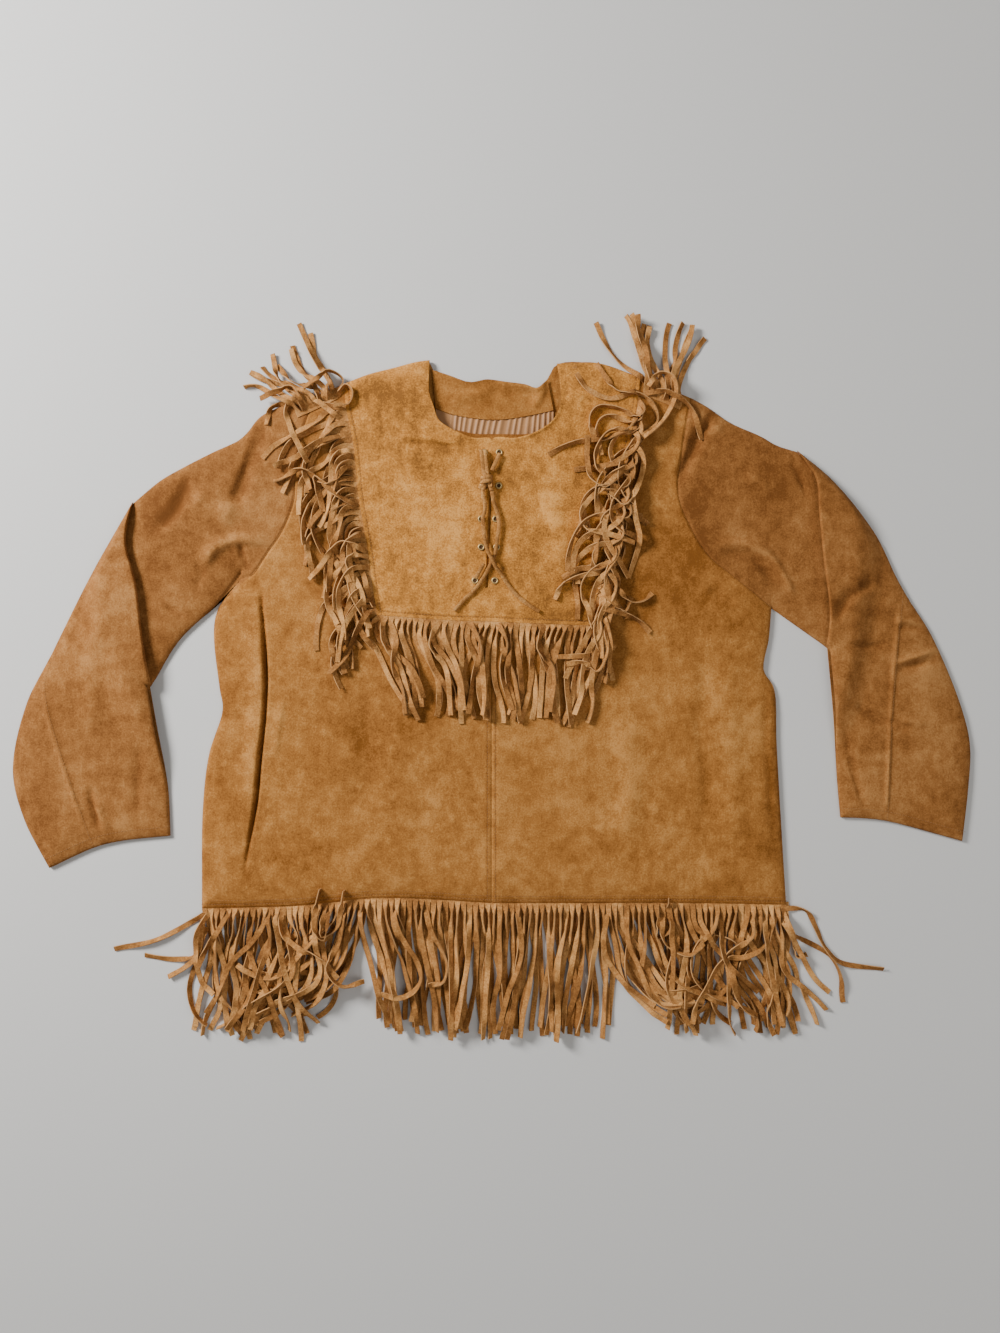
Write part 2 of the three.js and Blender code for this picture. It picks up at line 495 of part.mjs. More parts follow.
// Satin lining behind the facing, gathered into small slanting pleats
function lining() {
  const columns = 2 * LINING.pleats;
  const top = shifted(along(INSIDE_NECK_EDGE, columns), 0, -WALL / 4);
  const base = WALL + GAP + LINING.thick / 2;
  const points = [0, 1].map((row) => top.map(([x, y], j) => {
    const slant = row * LINING.slant * Math.sin(Math.PI * j / columns);
    const z = base + (j % 2) * LINING.depth;
    return { middle: new THREE.Vector3(x - slant, row ? LINING.bottomY : y, z), outward: UP };
  }));
  return wall('lining', points, SATIN, LINING.thick);
}

// Facing under the front neckline, which peeps out above its edge
function frontNeckFacing() {
  const { breadth, peep, drop, columns } = FRONT_FACING;
  const edge = along(FRONT_FACING_EDGE, columns);
  const rows = [peep - breadth, 0, peep].map((dy) => shifted(edge, 0, dy));
  return wall('front_neck_facing', drape(rows, (x, y) => frontZ(x, y) - drop), BIB_SUEDE);
}

// Upper surface that a strand lies on, falling to a given floor outside the silhouette
const DROP_REACH = 16;
function restZ(x, y, floorZ) {
  const inside = depthInside(x, y);
  const cloth = frontZ(x, y) + WALL / 2;
  return inside >= 0 ? cloth : Math.max(floorZ, mix(cloth, floorZ, clamp01(-inside / DROP_REACH)));
}

function fallAt(fall, share) {
  const next = Math.max(1, fall.findIndex((row) => row[0] >= share));
  const [a, b] = [fall[next - 1], fall[next]];
  const t = clamp01((share - a[0]) / (b[0] - a[0]));
  return [mix(a[1], b[1], t), mix(a[2], b[2], t)];
}

// A strip with strands growing out of its free edge, as one closed body
function comb(name, edge, { count, fall, outward, leave, lift = 0, arch = 3, floorZ = 0, flat = false }) {
  const strandShare = STRAND.width / (edge.getLength() / count);
  const marks = [0];
  for (let k = 0; k < count; k += 1) {
    marks.push((k + 0.5 - strandShare / 2) / count, (k + 0.5 + strandShare / 2) / count);
  }
  marks.push(1);
  const zAt = (x, y) => (flat ? WALL / 2 : restZ(x, y, floorZ) + GAP + STRAND.thick / 2 + lift);
  const corners = [];
  const quads = [];
  marks.forEach((mark) => {
    const point = edge.getPointAt(mark);
    const free = [point.x + outward[0] * STRIP_BREADTH, point.y + outward[1] * STRIP_BREADTH];
    const half = flat ? WALL / 2 : STRAND.thick / 2;
    const z = [zAt(point.x, point.y), zAt(...free)];
    const ends = [[point.x, point.y, z[0]], [...free, z[1]]];
    ends.forEach(([x, y, level]) => {
      corners.push(new THREE.Vector3(x, y, level + half), new THREE.Vector3(x, y, level - half));
    });
  });
  const at = (mark, corner) => 4 * mark + corner;
  const last = marks.length - 1;
  quads.push([at(0, 0), at(0, 1), at(0, 3), at(0, 2)]);
  quads.push([at(last, 2), at(last, 3), at(last, 1), at(last, 0)]);
  for (let k = 0; k < last; k += 1) {
    quads.push([at(k, 2), at(k + 1, 2), at(k + 1, 0), at(k, 0)]);
    quads.push([at(k, 3), at(k, 1), at(k + 1, 1), at(k + 1, 3)]);
    quads.push([at(k, 0), at(k + 1, 0), at(k + 1, 1), at(k, 1)]);
    if (k % 2 === 0) quads.push([at(k, 2), at(k, 3), at(k + 1, 3), at(k + 1, 2)]);
  }
  for (let k = 0; k < count; k += 1) {
    const tip = fallAt(fall, (k + 0.5) / count);
    growStrand(corners, quads, at, k, { tip, outward, leave, arch, zAt, flat });
  }
  return closedMesh(name, corners, quads, FRINGE_SUEDE);
}

// One strand of four sides from its root on the strip to its tip, along a bent path
function growStrand(corners, quads, at, k, { tip, outward, leave, arch, zAt, flat }) {
  let ring = [at(2 * k + 1, 2), at(2 * k + 2, 2), at(2 * k + 2, 3), at(2 * k + 1, 3)];
  const across = corners[ring[1]].clone().sub(corners[ring[0]]);
  const root = corners[ring[0]].clone().add(corners[ring[2]]).multiplyScalar(0.5);
  const stretch = 1 + VARIATION.lengthSway * Math.sin(VARIATION.lengthBeat * k + 1);
  const [dx, dy] = tip.map((d) => d * stretch);
  const straight = dx * outward[0] + dy * outward[1];
  const bend = [0, 1].map((axis) => mix([dx, dy][axis], straight * outward[axis], leave) / 2);
  const rise = arch * (VARIATION.leastArch + VARIATION.archSway * Math.sin(VARIATION.archBeat * k));
  for (let step = 1; step <= STRAND.steps; step += 1) {
    const t = step / STRAND.steps;
    const x = root.x + 2 * t * (1 - t) * bend[0] + t * t * dx;
    const y = root.y + 2 * t * (1 - t) * bend[1] + t * t * dy;
    const z = flat ? WALL - STRAND.thick / 2 : zAt(x, y) + 4 * rise * t * (1 - t);
    const heading = new THREE.Vector3(mix(bend[0], dx - bend[0], t), mix(bend[1], dy - bend[1], t), 0);
    heading.normalize();
    const sideways = new THREE.Vector3(-heading.y, heading.x, 0).multiplyScalar(STRAND.width / 2);
    if (sideways.dot(across) < 0) sideways.negate();
    const centre = new THREE.Vector3(x, y, z);
    const next = [[-1, 1], [1, 1], [1, -1], [-1, -1]].map(([side, top]) => {
      const corner = centre.clone().addScaledVector(sideways, side);
      corners.push(corner.addScaledVector(UP, top * STRAND.thick / 2));
      return corners.length - 1;
    });
    next.forEach((corner, q) => quads.push([ring[q], corner, next[(q + 1) % 4], ring[(q + 1) % 4]]));
    ring = next;
  }
  quads.push([ring[0], ring[3], ring[2], ring[1]]);
}

// A run of straight stretches through x, y points
function lineOf(path) {
  const line = new THREE.CurvePath();
  const points = path.map(([x, y]) => new THREE.Vector3(x, y, 0));
  points.slice(1).forEach((point, i) => line.add(new THREE.LineCurve3(points[i], point)));
  return line;
}

function fringes() {
  const hem = lineOf(shifted(hemLine(), 0, -STRIP_GAP));
  const edges = {
    hem_fringe_front: hem,
    hem_fringe_back: hem,
    bib_fringe_bottom: lineOf(shifted(BIB_BOTTOM_STRIP, 0, -GAP)),
    bib_fringe_left: lineOf(shifted(BIB_SIDE_LEFT.slice(0, -1).reverse(), -STRIP_GAP, 0)),
    bib_fringe_right: lineOf(shifted(BIB_SIDE_RIGHT.slice(0, -1).reverse(), STRIP_GAP, 0)),
    shoulder_fringe_left: lineOf(SHOULDER_STRIP_LEFT),
    shoulder_fringe_right: lineOf(SHOULDER_STRIP_RIGHT),
  };
  return Object.entries(edges).map(([name, edge]) => comb(name, edge, COMBS[name]));
}

function eyelets() {
  const { bore, flange, thick, outerSlope, innerSlope, segments } = EYELET;
  const top = [[flange - outerSlope, thick], [bore + innerSlope, thick]];
  const profile = [[bore, 0], [flange, 0], ...top, [bore, 0]].map(([r, h]) => new THREE.Vector2(r, h));
  return EYELET_ROWS.flatMap(([y, ...sides], row) => sides.map((x, column) => {
    const geometry = new THREE.LatheGeometry(profile, segments).rotateX(Math.PI / 2);
    const mesh = new THREE.Mesh(geometry, new THREE.MeshStandardMaterial(BRASS));
    mesh.position.set(x, y, bibZ(x, y) + WALL / 2 + GAP);
    mesh.name = `eyelet_${['left', 'right'][column]}_${row + 1}`;
    return mesh;
  }));
}

// A round thong along points of x, y and lift off the bib
function thong(name, route) {
  const curve = new THREE.CatmullRomCurve3(route.map(([x, y, lift]) => (
    new THREE.Vector3(x, y, bibZ(x, y) + WALL / 2 + LACE / 2 + lift))), false, 'centripetal');
  const section = new THREE.Shape([...Array(LACE_SIDES).keys()].map((k) => {
    const angle = 2 * Math.PI * k / LACE_SIDES;
    return new THREE.Vector2(Math.cos(angle) * LACE / 2, Math.sin(angle) * LACE / 2);
  }));
  const steps = Math.max(3, Math.round(curve.getLength() / LACE_STEP));
  const geometry = new THREE.ExtrudeGeometry(section, { steps, extrudePath: curve, bevelEnabled: false });
  const mesh = new THREE.Mesh(geometry, new THREE.MeshStandardMaterial(THONG));
  mesh.name = name;
  return mesh;
}

// The overhand knot as a rounded barrel
function knot() {
  const geometry = new THREE.SphereGeometry(0.5, KNOT.segments, KNOT.rings);
  geometry.scale(KNOT.breadth, KNOT.length, KNOT.thick);
  const mesh = new THREE.Mesh(geometry, new THREE.MeshStandardMaterial(THONG));
  const seat = bibZ(KNOT.x, KNOT.y) + WALL / 2 + EYELET.thick + 2 * GAP;
  mesh.position.set(KNOT.x, KNOT.y, seat + KNOT.thick / 2);
  mesh.name = 'lace_knot';
  return mesh;
}

const shirt = new THREE.Group();
shirt.add(
  backPanel(),
  ...FRONTS.map(frontPanel),
  bibPanel(),
  ...SLEEVES.flatMap((sleeve) => [sleeveTop(sleeve), sleeveUnder(sleeve)]),
  backNeckFacing(),
  lining(),
  frontNeckFacing(),
  ...fringes(),
  ...eyelets(),
  ...LACE_STRETCHES.map(([name, route]) => thong(name, route)),
  thong('lace_end_left', LACE_END_LEFT),
  thong('lace_end_right', LACE_END_RIGHT),
  knot(),
);
shirt.children.forEach((mesh) => {
  mesh.geometry.deleteAttribute('normal');
  mesh.geometry.deleteAttribute('uv');
  mesh.geometry = mergeVertices(mesh.geometry, WELD);
});

// The origin is under the middle of the silhouette with its fringe, on the floor
const reach = new THREE.Box3().setFromObject(shirt);
shirt.position.set(-(reach.min.x + reach.max.x) / 2, -(reach.min.y + reach.max.y) / 2, -reach.min.z);

export default shirt;
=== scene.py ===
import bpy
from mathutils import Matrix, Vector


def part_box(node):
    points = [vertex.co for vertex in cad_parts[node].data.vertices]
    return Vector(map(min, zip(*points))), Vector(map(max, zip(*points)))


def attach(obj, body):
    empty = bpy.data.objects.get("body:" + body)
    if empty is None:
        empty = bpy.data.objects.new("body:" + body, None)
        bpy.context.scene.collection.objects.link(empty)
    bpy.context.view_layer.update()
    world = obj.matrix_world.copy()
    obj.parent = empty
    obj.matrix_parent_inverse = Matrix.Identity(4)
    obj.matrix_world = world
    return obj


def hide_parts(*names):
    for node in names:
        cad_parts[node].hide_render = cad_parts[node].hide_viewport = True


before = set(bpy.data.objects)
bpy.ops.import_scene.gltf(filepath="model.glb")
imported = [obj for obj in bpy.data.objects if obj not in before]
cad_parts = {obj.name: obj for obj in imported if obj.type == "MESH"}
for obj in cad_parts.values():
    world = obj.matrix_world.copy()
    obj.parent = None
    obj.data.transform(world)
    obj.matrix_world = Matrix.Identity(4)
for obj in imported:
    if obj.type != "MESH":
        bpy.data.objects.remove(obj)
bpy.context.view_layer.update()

import math

import bpy
import numpy as np

# Camera and place
# The camera hangs straight above the shirt with its top towards the neck. Sizes below are millimetres in the
# shirt's own plan, which place() turns into the frame's metres by the back panel's low corner.
MM = 0.001
BACK_LOW_CORNER = (-332, -268)
IMAGE_HEIGHT = 1333
MM_PER_PIXEL = 1.15
VIEW_CENTRE = (9.8, 9.2)
LENS = 27.05
SENSOR = 36

plan_shift = np.array([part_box("back")[0][axis] / MM - BACK_LOW_CORNER[axis] for axis in (0, 1)] + [0])


def place(points):
    """Points of x, y, z in the shirt's plan as metres in the frame."""
    return (np.asarray(points, float) + plan_shift) * MM


def in_scene(name, data):
    """A new object, placed in the scene."""
    made = bpy.data.objects.new(name, data)
    bpy.context.scene.collection.objects.link(made)
    return made


camera = in_scene("camera", bpy.data.cameras.new("camera"))
camera.data.lens = LENS
camera.data.sensor_width = SENSOR
camera.location = place([*VIEW_CENTRE, IMAGE_HEIGHT * MM_PER_PIXEL * LENS / SENSOR])
bpy.context.scene.camera = camera

# Light and floor
# A broad soft light stands off the neck at the left, a weaker one fills in from the right, and the room is pale.
# The floor is plain, pale and matt.
KEY = {"place": (-1.75, 1.05, 1.15), "size": 0.7, "watts": 105}
FILL = {"place": (1.2, -0.4, 2.0), "size": 2.0, "watts": 16}
ROOM = {"Color": (1, 0.985, 0.96, 1), "Strength": 0.26}
HALF_FLOOR = 3
FLOOR = {"Base Color": (0.60, 0.59, 0.57, 1), "Roughness": 0.9}


def set_values(node, values):
    """Sets plain numbers and colours on a node's own sockets."""
    for name, value in values.items():
        node.inputs[name].default_value = value


def soft_light(name, settings):
    lamp = in_scene(name, bpy.data.lights.new(name, "AREA"))
    lamp.data.shape = "DISK"
    lamp.data.size = settings["size"]
    lamp.data.energy = settings["watts"]
    lamp.location = settings["place"]
    lamp.rotation_euler = (-lamp.location).to_track_quat("-Z", "Y").to_euler()


soft_light("key light", KEY)
soft_light("fill light", FILL)

room = bpy.data.worlds.new("room")
room.use_nodes = True
set_values(room.node_tree.nodes["Background"], ROOM)
bpy.context.scene.world = room

floor = in_scene("floor", bpy.data.meshes.new("floor"))
floor.data.from_pydata([(side * HALF_FLOOR, end * HALF_FLOOR, 0) for side, end in ((-1, -1), (1, -1), (1, 1), (-1, 1))],
                       [], [(0, 1, 2, 3)])
floor_paint = bpy.data.materials.new("floor")
floor_paint.use_nodes = True
set_values(floor_paint.node_tree.nodes["Principled BSDF"], FLOOR)
floor.data.materials.append(floor_paint)

# The lie of the shirt
# Suede split leather about 1.4 mm thick, laid flat with its front up. The front rises off the back in a low swell,
# comes down to it along every edge, and carries the long soft folds that the cloth took when it was laid out.
WALL = 1.4
GAP = 0.3
LOFT = 7
LOFT_REACH = 48
EDGE_Z = WALL + GAP + WALL / 2
BIB_STEP = WALL + GAP + 0.15
FOLD_FADE = 30
CORNER_ROUNDING = 5

# Body edges, each from the hem up, armholes from the underarm up, and shoulders from the neck out. Columns: x, y
SIDE_LEFT = [[-332, -268], [-331, -153], [-324, -92], [-308, -39], [-312, -14], [-316, 68], [-286, 110]]
SIDE_RIGHT = [[338, -264], [333, -184], [327, -79], [324, -16], [312, 6], [318, 40], [321, 76]]
HEM_LEFT = [[-0.15, -262], [-128, -256], [-220, -265], [-332, -268]]
HEM_RIGHT = [[0.15, -262], [125, -262], [235, -262], [338, -264]]
ARMHOLE_LEFT = [[-286, 110], [-274, 113], [-256, 138], [-239, 163], [-225, 199], [-224, 222], [-217, 270], [-202, 320]]
ARMHOLE_RIGHT = [[321, 76], [273, 114], [247, 136], [224, 174], [213, 206], [217, 252], [222, 285], [228, 317]]
SHOULDER_LEFT = [[-71, 360], [-86, 358], [-112, 351], [-140, 344], [-171, 332], [-202, 320]]
SHOULDER_RIGHT = [[75, 356], [120, 357], [155, 346], [178, 337], [212, 325], [228, 317]]
NECKLINE_LEFT = [[-20, 269.5], [-44, 279], [-60, 290], [-66, 306], [-71, 322], [-71, 360]]
NECKLINE_RIGHT = [[28, 269.5], [50, 276], [70, 290], [78, 306], [79, 324], [75, 356]]
NECK_LOW_Y = 268
BACK_NECKLINE = [
    [-71, 360], [-68, 350], [-49, 344], [-25, 336], [-5, 339], [17, 336], [39, 333], [52, 329], [64, 339], [75, 356]]

# Sleeve edges. The fold is the edge of the forearm where it lies over the upper arm. Columns: x, y
SLEEVES = {
    "left": {
        "side": -1, "armhole": ARMHOLE_LEFT,
        "upper_outer": [[-202, 320], [-263, 297], [-286, 271], [-319, 255], [-356, 236], [-380, 222], [-411, 196]],
        "upper_inner": [[-287, 118], [-316, 80], [-359, 39], [-390, -12]],
        "fold": [[-411, 196], [-417, 151], [-405, 101], [-398, 43], [-393, -12]],
        "lower_outer": [[-411, 196], [-448, 132], [-469, 95], [-507, 18], [-533, -33], [-549, -110], [-536, -166],
                        [-507, -222]],
        "lower_inner": [[-393, -12], [-384, -63], [-372, -128], [-369, -185]],
        "cuff": [[-507, -222], [-454, -198], [-425, -191], [-369, -185]],
        "tuck_under": (-0.55, -0.83), "tuck_depth": (10, 42),
    },
    "right": {
        "side": 1, "armhole": ARMHOLE_RIGHT,
        "upper_outer": [[228, 317], [247, 307], [273, 289], [309, 273], [326, 263], [351, 255]],
        "upper_inner": [[321, 78], [347, 58], [384, 32]],
        "fold": [[351, 255], [370, 223], [374, 181], [379, 128], [386, 68], [386, 30]],
        "lower_outer": [[351, 255], [389, 223], [439, 163], [470, 100], [505, 44], [540, -41], [549, -83],
                        [547, -129], [540, -191]],
        "lower_inner": [[386, 30], [393, -48], [397, -118], [401, -164]],
        "cuff": [[540, -191], [453, -168], [428, -165], [401, -164]],
        "tuck_under": (0.6, -0.8), "tuck_depth": (10, 34),
    },
}

# The deep tuck down the wearer's right side, and the painted shade along its bottom. Columns: x, y
TUCK = [[-264, 100], [-263, 86], [-259, 40], [-257, -6], [-259, -52], [-264, -98], [-268, -144], [-278, -201],
        [-284, -241]]
TUCK_SHADE = {"strength": 0.55, "breadth": 1.7}
# Folds and creases. Columns: height (minus for a trough), widths left and right of its path, path of x, y
FOLDS = [
    # the wearer's right side: the tuck and the roll beside it
    (-4.8, 2.0, 1.5, TUCK),
    (2.6, 2.2, 15, [[-268, 95], [-264, 40], [-261.5, -6], [-263.5, -52], [-268.5, -98], [-273, -144], [-283, -201]]),
    (-1.4, 5, 5, [[-296, -40], [-286, -50], [-276, -58]]),
    (1.2, 4, 7, [[-236, -20], [-243, -60], [-248, -100]]),
    # the other side of the body
    (-1.5, 11, 8, [[236, 40], [243, -17], [237, -52], [246, -121], [240, -201]]),
    (1.8, 14, 16, [[268, 40], [272, -60], [276, -150], [270, -220]]),
    (-2.2, 3, 5, [[318, 20], [315, -60], [320, -140], [326, -210]]),
    (-1.8, 4, 6, [[246, 98], [262, 91], [281, 80]]),
    (2.2, 14, 14, [[150, -40], [158, -120], [150, -200]]),
    (-1.6, 16, 16, [[-150, 10], [-140, -90], [-152, -180]]),
    # left sleeve
    (-5.5, 9, 7, [[-259, 302], [-266, 282], [-271, 260], [-279, 237], [-290, 206], [-298, 188]]),
    (-4.5, 5, 10, [[-348, 236], [-350, 208], [-364, 180], [-392, 160]]),
    (3, 14, 12, [[-345, 205], [-318, 190], [-285, 178]]),
    (4.2, 9, 5, [[-328, 118], [-316, 142], [-289, 153], [-246, 148]]),
    (-4.5, 3, 4, [[-288, 150], [-282, 132], [-276, 114]]),
    (-1.6, 4, 5, [[-338, 132], [-331, 114], [-338, 98]]),
    (-1.6, 3, 5, [[-374, 80], [-358, 72], [-348, 60]]),
    (2.0, 2.6, 2.6, [[-506, 14], [-512, -8], [-509, -34], [-492, -93], [-477, -137], [-469, -160], [-458, -196]]),
    (-3.4, 3, 3.5, [[-458, -126], [-455, -150], [-445, -182]]),
    (2.0, 5, 4, [[-450, -140], [-446, -158], [-436, -182]]),
    (-1.8, 8, 6, [[-398, -70], [-404, -115], [-401, -162]]),
    (2.2, 14, 12, [[-440, 80], [-456, 0], [-452, -80]]),
    # right sleeve
    (-6, 5, 7, [[250, 302], [241, 280], [231, 256], [220, 234], [213, 214]]),
    (5, 4, 5, [[250, 314], [243, 297], [237, 280]]),
    (-5, 3, 3, [[258, 308], [250, 291], [245, 276]]),
    (5, 5, 4, [[274, 300], [263, 287], [254, 274]]),
    (3.4, 4, 5, [[250, 150], [286, 149], [315, 138], [338, 104], [345, 84]]),
    (-3, 6, 6, [[256, 138], [288, 137], [308, 126], [328, 96]]),
    (1.8, 4, 5, [[288, 229], [303, 222], [318, 214]]),
    (-2.2, 3, 3, [[341, 247], [352, 225], [362, 198]]),
    (-3.4, 9, 4, [[389, 54], [406, 86], [424, 98], [440, 106]]),
    (-2.2, 3.5, 4, [[400, 36], [428, 33], [454, 35]]),
    (4, 3, 3, [[458, 63], [482, 59], [510, 53]]),
    (-3, 3, 3, [[460, 56], [484, 52], [510, 46]]),
    (3.4, 3, 3, [[456, 12], [490, 22], [524, 33]]),
    (-3.2, 4, 6, [[459, 4], [490, 13], [523, 20]]),
    (-3.4, 4, 6, [[413, -30], [447, -52], [481, -60]]),
    (2.2, 5, 4, [[456, -62], [476, -54], [500, -60]]),
    (-3.2, 5, 3, [[400, -52], [412, -109], [428, -158]]),
    (1.8, 2.2, 2.2, [[469, 93], [462, 40], [456, -29], [451, -143], [451, -166]]),
    # bib and shoulders
    (1.8, 4, 2.6, [[-106, 271], [-71, 268], [-28, 261]]),
    (-1.7, 2.6, 6, [[-104, 266], [-71, 263], [-32, 256]]),
    (2.2, 5, 9, [[82, 319], [104, 320], [132, 318]]),
    (-1.8, 12, 14, [[-150, 322], [-122, 326], [-100, 318]]),
    (1.6, 9, 9, [[60, 210], [78, 160], [72, 110]]),
    (1.3, 2.4, 2.4, [[-66, 300], [-60, 289], [-44, 278], [-20, 268.5], [2, 267], [28, 268.5], [50, 275], [70, 289],
                     [79, 306], [79, 322]]),
]
# How a fold dies at its ends, swells and thins along its length, and is painted lighter on its ridges and darker in its
# hollows as painted light and shade
FOLD_END_SHARE = 0.25
FOLD_SWELL = {"share": 0.22, "pace": 9, "seed": 5}
FOLD_THINNING = {"share": 0.15, "pace": 7, "seed": 8}
LATTICE = 64
LEAST_DISTANCE = 0.01


def mix(a, b, t):
    return a + (b - a) * t


def ease(t):
    t = np.clip(t, 0, 1)
    return t * t * (3 - 2 * t)


def smooth_line(path, per_stretch=24):
    """Dense points on the centripetal Catmull-Rom curve through a path."""
    p = np.array(path, float)
    p = np.vstack([2 * p[0] - p[1], p, 2 * p[-1] - p[-2]])
    knots = np.linalg.norm(np.diff(p, axis=0), axis=1) ** 0.5
    t = np.linspace(0, 1, per_stretch, endpoint=False)[:, None]
    runs = []
    for k in range(1, len(p) - 2):
        before, start, end, after = p[k - 1:k + 3]
        d0, d1, d2 = knots[k - 1:k + 2]
        leave = d1 * ((start - before) / d0 - (end - before) / (d0 + d1) + (end - start) / d1)
        arrive = d1 * ((end - start) / d1 - (after - start) / (d1 + d2) + (after - end) / d2)
        runs.append(start + leave * t + (3 * (end - start) - 2 * leave - arrive) * t ** 2
                    + (2 * (start - end) + leave + arrive) * t ** 3)
    return np.vstack([*runs, p[-2]])


def along(path, shares):
    """Points at shares of the length of the smooth curve through a path; a whole number spaces them evenly."""
    if isinstance(shares, int):
        shares = np.linspace(0, 1, shares + 1)
    line = smooth_line(path)
    travelled = np.concatenate([[0], np.cumsum(np.linalg.norm(np.diff(line, axis=0), axis=1))])
    return np.column_stack([np.interp(np.asarray(shares) * travelled[-1], travelled, column) for column in line.T])


OUTLINE_CELLS = 14
SILHOUETTE = [along(path, OUTLINE_CELLS) for path in [
    SIDE_LEFT, SLEEVES["left"]["upper_inner"], SLEEVES["left"]["lower_inner"], SLEEVES["left"]["cuff"][::-1],
    SLEEVES["left"]["lower_outer"][::-1], SLEEVES["left"]["upper_outer"][::-1], SHOULDER_LEFT[::-1], BACK_NECKLINE,
    SHOULDER_RIGHT, SLEEVES["right"]["upper_outer"], SLEEVES["right"]["lower_outer"], SLEEVES["right"]["cuff"],
    SLEEVES["right"]["lower_inner"][::-1], SLEEVES["right"]["upper_inner"][::-1], SIDE_RIGHT[::-1],
    HEM_RIGHT[::-1] + HEM_LEFT]]


def to_path(x, y, path):
    """Distance of points from a path, how far along it each is nearest, and whether it is on its left."""
    nearest = np.full(np.shape(x), np.inf)
    where = np.zeros(np.shape(x))
    left = np.zeros(np.shape(x), bool)
    for k in range(len(path) - 1):
        (ax, ay), (bx, by) = path[k], path[k + 1]
        dx, dy = bx - ax, by - ay
        share = np.clip(((x - ax) * dx + (y - ay) * dy) / max(dx * dx + dy * dy, 1e-9), 0, 1)
        distance = np.hypot(x - ax - share * dx, y - ay - share * dy)
        where = np.where(distance < nearest, (k + share) / (len(path) - 1), where)
        left = np.where(distance < nearest, dx * (y - ay) > dy * (x - ax), left)
        nearest = np.minimum(distance, nearest)
    return nearest, where, left


def within(x, y, outline):
    """Whether points lie inside a closed outline."""
    inside = np.zeros(np.shape(x), bool)
    for (ax, ay), (bx, by) in zip(outline, np.roll(outline, -1, axis=0)):
        if ay != by:
            inside ^= ((ay > y) != (by > y)) & (x < mix(ax, bx, (y - ay) / (by - ay)))
    return inside


def depth_inside(x, y):
    """Distance from the silhouette, positive inside it and rounded off where two edges meet."""
    reciprocal = sum(np.maximum(to_path(x, y, edge)[0], LEAST_DISTANCE) ** -CORNER_ROUNDING for edge in SILHOUETTE)
    distance = reciprocal ** (-1 / CORNER_ROUNDING)
    return np.where(within(x, y, np.vstack(SILHOUETTE)), distance, -distance)


def uneven(x, y, size, seed):
    """Smooth unevenness between -1 and 1, in swells of about the given size."""
    lattice = np.random.default_rng(seed).uniform(-1, 1, (LATTICE, LATTICE))
    u, v = np.asarray(x) / size, np.asarray(y) / size
    i, j = np.floor(u).astype(int), np.floor(v).astype(int)
    s, t = ease(u - i), ease(v - j)
    at = [lattice[(i + di) % LATTICE, (j + dj) % LATTICE] for di, dj in ((0, 0), (1, 0), (0, 1), (1, 1))]
    return mix(mix(at[0], at[1], s), mix(at[2], at[3], s), t)


def fold_lift(x, y, height, left_width, right_width, path):
    """How far one fold lifts the cloth: a soft row that swells and thins along its length and dies at its ends."""
    distance, share, left = to_path(x, y, smooth_line(path, 5))
    fade = ease(share / FOLD_END_SHARE) * ease((1 - share) / FOLD_END_SHARE)
    swell = 1 + FOLD_SWELL["share"] * uneven(
        share * FOLD_SWELL["pace"], 0 * share + left_width, 1, FOLD_SWELL["seed"])
    thinning = 1 + FOLD_THINNING["share"] * uneven(share * FOLD_THINNING["pace"], 0 * share, 1, FOLD_THINNING["seed"])
    width = np.where(left, left_width, right_width) * thinning
    return height * fade * swell * np.exp(-(distance / width) ** 2)


def creases(x, y):
    """How far all the folds together lift the cloth."""
    return sum(fold_lift(x, y, *fold) for fold in FOLDS)


# Slack in the hide itself. Columns: size of the swells, their height
SLACK = [(85, 0.7), (38, 0.4), (16, 0.16), (8, 0.05)]
SLACK_SEED = 11


def front_z(x, y):
    """Middle of the front's leather above the floor."""
    inside = np.maximum(0, depth_inside(x, y))
    rise = LOFT * np.sqrt(1 - (1 - np.clip(inside / LOFT_REACH, 0, 1)) ** 2)
    slack = sum(height * uneven(x, y, size, SLACK_SEED + k) for k, (size, height) in enumerate(SLACK))
    return np.maximum(EDGE_Z, EDGE_Z + rise + (creases(x, y) + slack) * ease(inside / FOLD_FADE))


def bib_z(x, y):
    return front_z(x, y) + BIB_STEP


# Lace
# A leather thong laced through the eyelets, tied in an overhand knot near the top, with two loose ends that cross
# and fan out over the bib. Cut from the same hide and rolled a little rounder.
LACE = 3.4
LACE_SECTION = (4.3, 2.5, 8)
LACE_END_STEPS, LACE_STRETCH_STEPS = 70, 16
LACE_END_ROLL = {"most": 0.5, "steps": 9, "seeds": {"lace_end_left": 21, "lace_end_right": 27}}
LACE_STRETCH_ROLL = 0.15
# Columns: x, y, lift off the bib
LACE_END_LEFT = [
    [0.2, 209.5, 2.4], [1.0, 205, 2.2], [2.4, 197, 2.0], [5.6, 188, 1.9], [7.9, 178.5, 2.0], [8.6, 168, 1.9],
    [7, 156, 1.9], [5.6, 146, 1.9], [3.7, 135.5, 1.2], [-0.4, 126.5, 0.6], [-6, 115.5, 0.9], [-12.4, 105, 1.0],
    [-20.8, 94.5, 0.5], [-30.6, 85.5, 0.4], [-42, 72.5, 0.5]]
LACE_END_RIGHT = [
    [-9.6, 209.5, 2.6], [-9.8, 204, 2.4], [-7.5, 195, 2.0], [-7.6, 186, 2.0], [-9.8, 178, 2.6], [-9, 166, 2.0],
    [-7.6, 155, 2.4], [-4.4, 141, 4.4], [0.6, 131, 5.6], [5.4, 121.5, 4.4], [10.6, 115.2, 2.2], [18.2, 103, 0.8],
    [27.4, 91.6, 0.4], [39, 81.6, 0.4], [54.4, 71.6, 0.5]]
